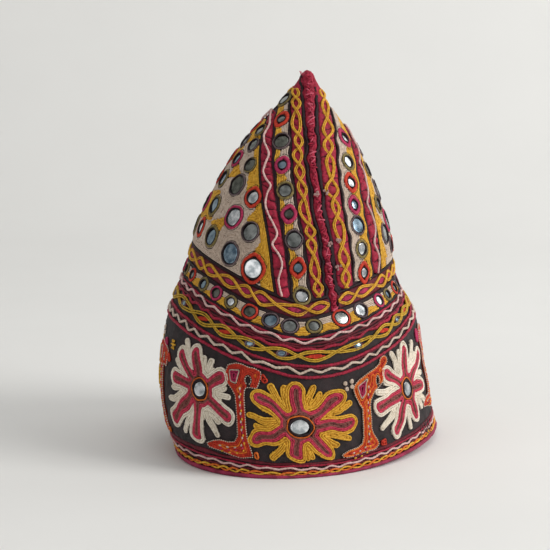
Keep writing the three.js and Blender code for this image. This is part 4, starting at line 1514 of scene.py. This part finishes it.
def linear(rgb):
    """A display colour as the linear one that a node wants."""
    return [((c / 255 + 0.055) / 1.055) ** 2.4 if c > 10 else c / 255 / 12.92 for c in rgb] + [1.0]


def new_material(name):
    """A material, its nodes, its shader and the coordinates of the piece."""
    material = bpy.data.materials.new(name)
    material.use_nodes = True
    tree = material.node_tree
    coordinates = tree.nodes.new("ShaderNodeTexCoord").outputs["Object"]
    return material, tree, tree.nodes["Principled BSDF"], coordinates


def noise(tree, coordinates, size_mm, detail=3.0):
    """A noise with grains of about a size."""
    made = tree.nodes.new("ShaderNodeTexNoise")
    made.inputs["Scale"].default_value = 1 / (size_mm * MM)
    made.inputs["Detail"].default_value = detail
    tree.links.new(coordinates, made.inputs["Vector"])
    return made.outputs["Fac"]


def combine(tree, operation, *values):
    """A sum or product of outputs and plain numbers."""
    made = tree.nodes.new("ShaderNodeMath")
    made.operation = operation
    for value, socket in zip(values, made.inputs):
        if isinstance(value, float):
            socket.default_value = value
        else:
            tree.links.new(value, socket)
    return made.outputs[0]


def color_by(tree, shader, factor, *stops):
    """Colours the shader between a dark stop and a light one, each a position and a colour."""
    ramp = tree.nodes.new("ShaderNodeValToRGB")
    for element, (position, rgb) in zip(ramp.color_ramp.elements, stops):
        element.position = position
        element.color = linear(rgb)
    tree.links.new(factor, ramp.inputs["Fac"])
    tree.links.new(ramp.outputs["Color"], shader.inputs["Base Color"])


def bump_by(tree, shader, height, strength):
    """Roughens the shader's surface by an output."""
    bump = tree.nodes.new("ShaderNodeBump")
    bump.inputs["Strength"].default_value = strength
    bump.inputs["Distance"].default_value = 0.25 * MM
    tree.links.new(height, bump.inputs["Height"])
    tree.links.new(bump.outputs["Normal"], shader.inputs["Normal"])


def thread_material(name, dark, light):
    """Stranded cotton: two shades in fine streaks, paler where it is worn."""
    fade, first_stop, spread = 0.35, 0.40, 0.35
    material, tree, shader, coordinates = new_material(name)
    fine = noise(tree, coordinates, 1.6)
    broad = noise(tree, coordinates, 22, detail=2.0)
    worn = combine(tree, "MULTIPLY_ADD", broad, fade, fine)
    color_by(tree, shader, worn, (first_stop, dark), (first_stop + spread * (1 + fade), light))
    bump_by(tree, shader, noise(tree, coordinates, 0.45, detail=1.0), 0.45)
    shader.inputs["Roughness"].default_value = 0.68
    shader.inputs["Specular IOR Level"].default_value = 0.3
    return material


def cloth_material(name, dark, light):
    """Woven cotton: crossed threads and a mottled dye."""
    weave = 0.7 * MM
    material, tree, shader, coordinates = new_material(name)
    color_by(tree, shader, noise(tree, coordinates, 7), (0.35, dark), (0.7, light))
    threads = []
    for direction in ("Z", "DIAGONAL"):
        wave = tree.nodes.new("ShaderNodeTexWave")
        wave.bands_direction = direction
        wave.inputs["Scale"].default_value = 0.3 / weave
        wave.inputs["Distortion"].default_value = 1.5
        tree.links.new(coordinates, wave.inputs["Vector"])
        threads.append(wave.outputs["Fac"])
    bump_by(tree, shader, combine(tree, "MULTIPLY", *threads), 0.5)
    shader.inputs["Roughness"].default_value = 0.8
    return material


def mirror_material(name, dark, light):
    """Old mirror glass: clouded, with dark specks where the silvering has gone."""
    material, tree, shader, coordinates = new_material(name)
    color_by(tree, shader, noise(tree, coordinates, 4.5), (0.36, dark), (0.6, light))
    haze = tree.nodes.new("ShaderNodeMapRange")
    haze.inputs["To Min"].default_value = 0.12
    haze.inputs["To Max"].default_value = 0.3
    tree.links.new(noise(tree, coordinates, 2.0), haze.inputs["Value"])
    tree.links.new(haze.outputs["Result"], shader.inputs["Roughness"])
    shader.inputs["Metallic"].default_value = 1.0
    return material


# What makes a look, its name, material name, slot, and dark and light shades.
LOOK_TABLE = [
    (thread_material, "crimson", "crimson_thread", "maroon_thread", (98, 9, 30), (172, 32, 62)),
    (thread_material, "maroon", "maroon_thread", "maroon_thread", (60, 10, 22), (108, 24, 38)),
    # Rose: the frayed threads at the point, and on the seam ridge partly painted highlight.
    (thread_material, "rose", "rose_thread", "maroon_thread", (150, 40, 66), (206, 96, 116)),
    (thread_material, "magenta", "magenta_thread", "maroon_thread", (128, 18, 56), (186, 50, 92)),
    (thread_material, "cerise", "cerise_thread", "maroon_thread", (142, 20, 46), (206, 66, 92)),
    # Near-black maroon for the threads in the pads' creases: painted shade.
    (thread_material, "gather", "gather_thread", "maroon_thread", (44, 4, 18), (84, 12, 34)),
    (thread_material, "brown", "brown_thread", "maroon_thread", (88, 42, 40), (140, 82, 74)),
    (thread_material, "red", "orange_red_thread", "orange_thread", (146, 28, 18), (206, 62, 36)),
    (thread_material, "orange", "orange_thread", "orange_thread", (182, 74, 20), (226, 122, 44)),
    (thread_material, "yellow", "yellow_thread", "yellow_thread", (172, 120, 22), (230, 179, 60)),
    (thread_material, "gold", "gold_thread", "yellow_thread", (150, 116, 22), (212, 172, 58)),
    (thread_material, "olive", "olive_thread", "yellow_thread", (88, 76, 42), (138, 122, 74)),
    (thread_material, "cream", "cream_thread", "cream_thread", (166, 146, 130), (212, 194, 178)),
    (thread_material, "white", "white_thread", "cream_thread", (198, 186, 168), (236, 227, 211)),
    (thread_material, "pink", "pale_pink_thread", "cream_thread", (178, 140, 136), (220, 188, 182)),
    (thread_material, "dusty", "dusty_pink_thread", "cream_thread", (120, 88, 86), (184, 152, 146)),
    (thread_material, "grey", "grey_thread", "cream_thread", (74, 58, 66), (112, 96, 98)),
    (thread_material, "dark", "dark_thread", "indigo_cloth", (16, 6, 9), (40, 20, 26)),
    (cloth_material, "indigo_cloth", "indigo_cloth", "indigo_cloth", (22, 14, 16), (44, 31, 34)),
    # Near-black thread for rings and edge rows; along the crown's strips and seam it is partly painted shade
    # in the valleys.
    (cloth_material, "maroon_cloth", "maroon_cloth", "maroon_cloth", (34, 12, 22), (64, 22, 36)),
    (cloth_material, "magenta_cloth", "magenta_cloth", "magenta_cloth", (118, 18, 52), (164, 42, 82)),
    (cloth_material, "lining_cloth", "lining_cloth", "lining_cloth", (96, 66, 50), (140, 102, 78)),
    # Mirror glass in four tints: partly the glass's own tint and partly painted reflection.
    (mirror_material, "mirror_grey", "mirror_grey", "mirror_glass", (104, 108, 106), (160, 164, 162)),
    (mirror_material, "mirror_blue", "mirror_blue", "mirror_glass", (84, 106, 124), (146, 166, 180)),
    (mirror_material, "mirror_bright", "mirror_bright", "mirror_glass", (160, 168, 172), (238, 240, 242)),
    (mirror_material, "mirror_dark", "mirror_dark", "mirror_glass", (72, 74, 68), (122, 124, 116))]
LOOKS = {look: (make(material_name, dark, light), slot)
         for make, look, material_name, slot, dark, light in LOOK_TABLE}

# The looks of pieces whose names don't say them, by the start of the name.
LOOK_BY_START = {
    "band_ground": "indigo_cloth", "crown_ground": "maroon_cloth", "lining": "lining_cloth",
    "hem_binding": "magenta_cloth", "point_pad": "crimson", "point_tuft": "crimson",
    "seam_ridge": "crimson", "seam_knots": "dusty", "wave_pad": "crimson", "wave_cord": "pink",
    "chain_pad": "crimson", "chain_cords": "yellow", "base_pad": "maroon",
    "base_chain_cords": "yellow", "base_chain_eyes": "magenta"}


# ---------------------------------------------------------------- pieces

def look_of(piece):
    """The look of a piece, from its name."""
    words = piece.split("_")
    if "mirrors" in words:
        return f"mirror_{words[-1]}"
    if words[-1] == "glass":
        return "mirror_bright"
    # Threads across the pads' creases are painted shade.
    if words[-1] == "gathers":
        return "gather"
    for start, look in LOOK_BY_START.items():
        if piece.startswith(start):
            return look
    if words[-1] == "border":
        return "white" if int(words[1]) % 2 else "yellow"
    if words[-1] == "core":
        return "brown"
    return next(word for word in reversed(words) if word in LOOKS)


def make_piece(name, content):
    """Makes a piece's mesh from what was gathered for it."""
    points = (np.concatenate(content["points"]) + CENTRING) * MM
    quads = np.concatenate(content["quads"])
    triangles = np.concatenate(content["triangles"])
    mesh = bpy.data.meshes.new(name)
    mesh.vertices.add(len(points))
    mesh.vertices.foreach_set("co", points.astype(np.float32).ravel())
    corners = np.concatenate([quads.ravel(), triangles.ravel()]).astype(np.int32)
    starts = np.concatenate([
        np.arange(len(quads)) * 4, len(quads) * 4 + np.arange(len(triangles)) * 3]).astype(np.int32)
    mesh.loops.add(len(corners))
    mesh.loops.foreach_set("vertex_index", corners)
    mesh.polygons.add(len(starts))
    mesh.polygons.foreach_set("loop_start", starts)
    mesh.polygons.foreach_set("use_smooth", np.ones(len(starts), bool))
    mesh.update(calc_edges=True)
    mesh.validate()
    made = bpy.data.objects.new(name, mesh)
    bpy.context.scene.collection.objects.link(made)
    material, slot = LOOKS[look_of(name)]
    mesh.materials.append(material)
    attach(made, "root")
    return made


put_ground_cloth()
put_hem_binding()
put_band_rows()
put_eyes()
put_mirror_band()
for side_name in SIGNS:
    put_base_chain(side_name)
put_crown_strips()
for end_name in ENDS:
    put_seam(end_name)
put_knots()
for side_name in SIGNS:
    put_field(side_name)
for flower_number, flower in enumerate(FLOWERS, 1):
    put_flower(flower_number, *flower)
for bird_number, bird_facts in enumerate(BIRDS, 1):
    put_bird(bird_number, *bird_facts)
put_small_motifs()
for side_name in SIGNS:
    put_point_pad(side_name)
put_point_tuft()
put_loose_ends()

made_pieces = {name: make_piece(name, bins[name]) for name in sorted(bins)}

STANDS_FOR = {
    "band_ground": ["band_cloth"],
    "lining_band_cloth": ["lining_band"],
    "hem_binding_cloth": ["hem_binding"],
    "hem_rows_yellow": ["hem_chain_band"],
    "hem_rows_pink": ["hem_zigzag_band"],
    "band_rows_cream": ["lower_zigzag_band"],
    "band_rows_gold": ["eye_chain_band"],
    "band_rows_pink": ["upper_zigzag_band"],
    "band_fill_yellow": ["mirror_band"],
    "point_tuft_cloth": ["point_tuft"],
}
for end_name in ENDS:
    STANDS_FOR[f"seam_ridge_{end_name}"] = [f"seam_tape_{end_name}"]
for side_name in SIGNS:
    STANDS_FOR[f"lining_crown_{side_name}"] = [f"lining_{side_name}"]
    STANDS_FOR[f"crown_ground_{side_name}"] = [f"crown_{side_name}"]
    STANDS_FOR[f"base_chain_cords_{side_name}"] = [f"base_chain_{side_name}"]
    STANDS_FOR[f"field_{side_name}_fill_yellow"] = [f"field_{side_name}"]
    STANDS_FOR[f"field_{side_name}_mirrors_blue"] = [f"field_mirror_{side_name}_{i}" for i in range(1, 5)]
    for end_name in ENDS:
        place_name = f"{end_name}_{side_name}"
        STANDS_FOR[f"chain_cords_{place_name}"] = [f"chain_strip_{place_name}"]
        STANDS_FOR[f"wave_cord_{place_name}"] = [f"wave_strip_{place_name}"]
        STANDS_FOR[f"mirror_strip_{place_name}_fill_yellow"] = [f"mirror_strip_{place_name}"]
for i in range(1, len(FLOWERS) + 1):
    STANDS_FOR[f"flower_{i}_border"] = [f"flower_{i}"]
    STANDS_FOR[f"flower_{i}_glass"] = [f"flower_mirror_{i}"]
for i in range(1, len(BIRDS) + 1):
    STANDS_FOR[f"bird_{i}_red"] = [f"bird_{i}"]
for piece_name, nodes in STANDS_FOR.items():
    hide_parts(*nodes)


# ---------------------------------------------------------------- stage, light and camera

def backdrop_material():
    """Pale paper, very slightly mottled."""
    material, tree, shader, coordinates = new_material("backdrop")
    color_by(tree, shader, noise(tree, coordinates, 120), (0.0, (224, 224, 222)), (1.0, (229, 229, 227)))
    shader.inputs["Roughness"].default_value = 0.9
    return material


def make_backdrop():
    """A pale floor that sweeps up behind the cap."""
    reach, front, back, radius, top = 3.0, -2.5, 1.4, 0.6, 2.2
    profile = [(front, 0.0), (back - radius, 0.0)]
    for turn in np.linspace(0, math.pi / 2, 12)[1:]:
        profile.append((back - radius + radius * math.sin(turn), radius - radius * math.cos(turn)))
    profile.append((back, top))
    points = [(x, y, z) for y, z in profile for x in (-reach, reach)]
    faces = [(2 * i, 2 * i + 1, 2 * i + 3, 2 * i + 2) for i in range(len(profile) - 1)]
    mesh = bpy.data.meshes.new("backdrop")
    mesh.from_pydata(points, [], faces)
    mesh.polygons.foreach_set("use_smooth", [True] * len(faces))
    mesh.materials.append(backdrop_material())
    made = bpy.data.objects.new("backdrop", mesh)
    bpy.context.scene.collection.objects.link(made)


def add_area_light(name, location, target, size, watts, color=(1, 1, 1)):
    """A square light that faces a target."""
    light = bpy.data.lights.new(name, "AREA")
    light.energy = watts
    light.size = size
    light.color = color
    lamp = bpy.data.objects.new(name, light)
    lamp.location = location
    lamp.rotation_euler = (Vector(target) - Vector(location)).to_track_quat("-Z", "Y").to_euler()
    bpy.context.scene.collection.objects.link(lamp)


def add_camera():
    """A view nearly straight on to the front, from a little above."""
    azimuth, elevation, distance = math.radians(-4), math.radians(9), 1.5
    target = Vector((CENTRING[0] * MM, CENTRING[1] * MM, 0.120))
    back = Vector((math.sin(azimuth) * math.cos(elevation), -math.cos(azimuth) * math.cos(elevation),
                   math.sin(elevation)))
    data = bpy.data.cameras.new("camera")
    data.sensor_width = 36
    data.lens = 150.6
    data.shift_x = -0.0418
    data.shift_y = -0.0282
    data.clip_end = 50
    camera = bpy.data.objects.new("camera", data)
    camera.location = target + back * distance
    camera.rotation_euler = (-back).to_track_quat("-Z", "Y").to_euler()
    bpy.context.scene.collection.objects.link(camera)
    bpy.context.scene.camera = camera


make_backdrop()
CAP_MIDDLE = (0, 0, 0.1)
add_area_light("key", (1.75, -0.8, 1.15), CAP_MIDDLE, 1.1, 33, color=(1.0, 0.985, 0.96))
add_area_light("fill", (-1.4, -1.3, 0.8), CAP_MIDDLE, 1.4, 3.6)
add_area_light("top", (0.3, 0.2, 1.9), CAP_MIDDLE, 1.6, 8)
add_area_light("right", (1.5, 0.6, 0.9), (0.5, 0.4, 0), 0.9, 4)
add_camera()

world = bpy.data.worlds.new("studio")
bpy.context.scene.world = world
world.use_nodes = True
background = world.node_tree.nodes["Background"]
background.inputs["Color"].default_value = (1.0, 0.99, 0.97, 1)
background.inputs["Strength"].default_value = 0.4
bpy.context.scene.view_settings.view_transform = "Standard"
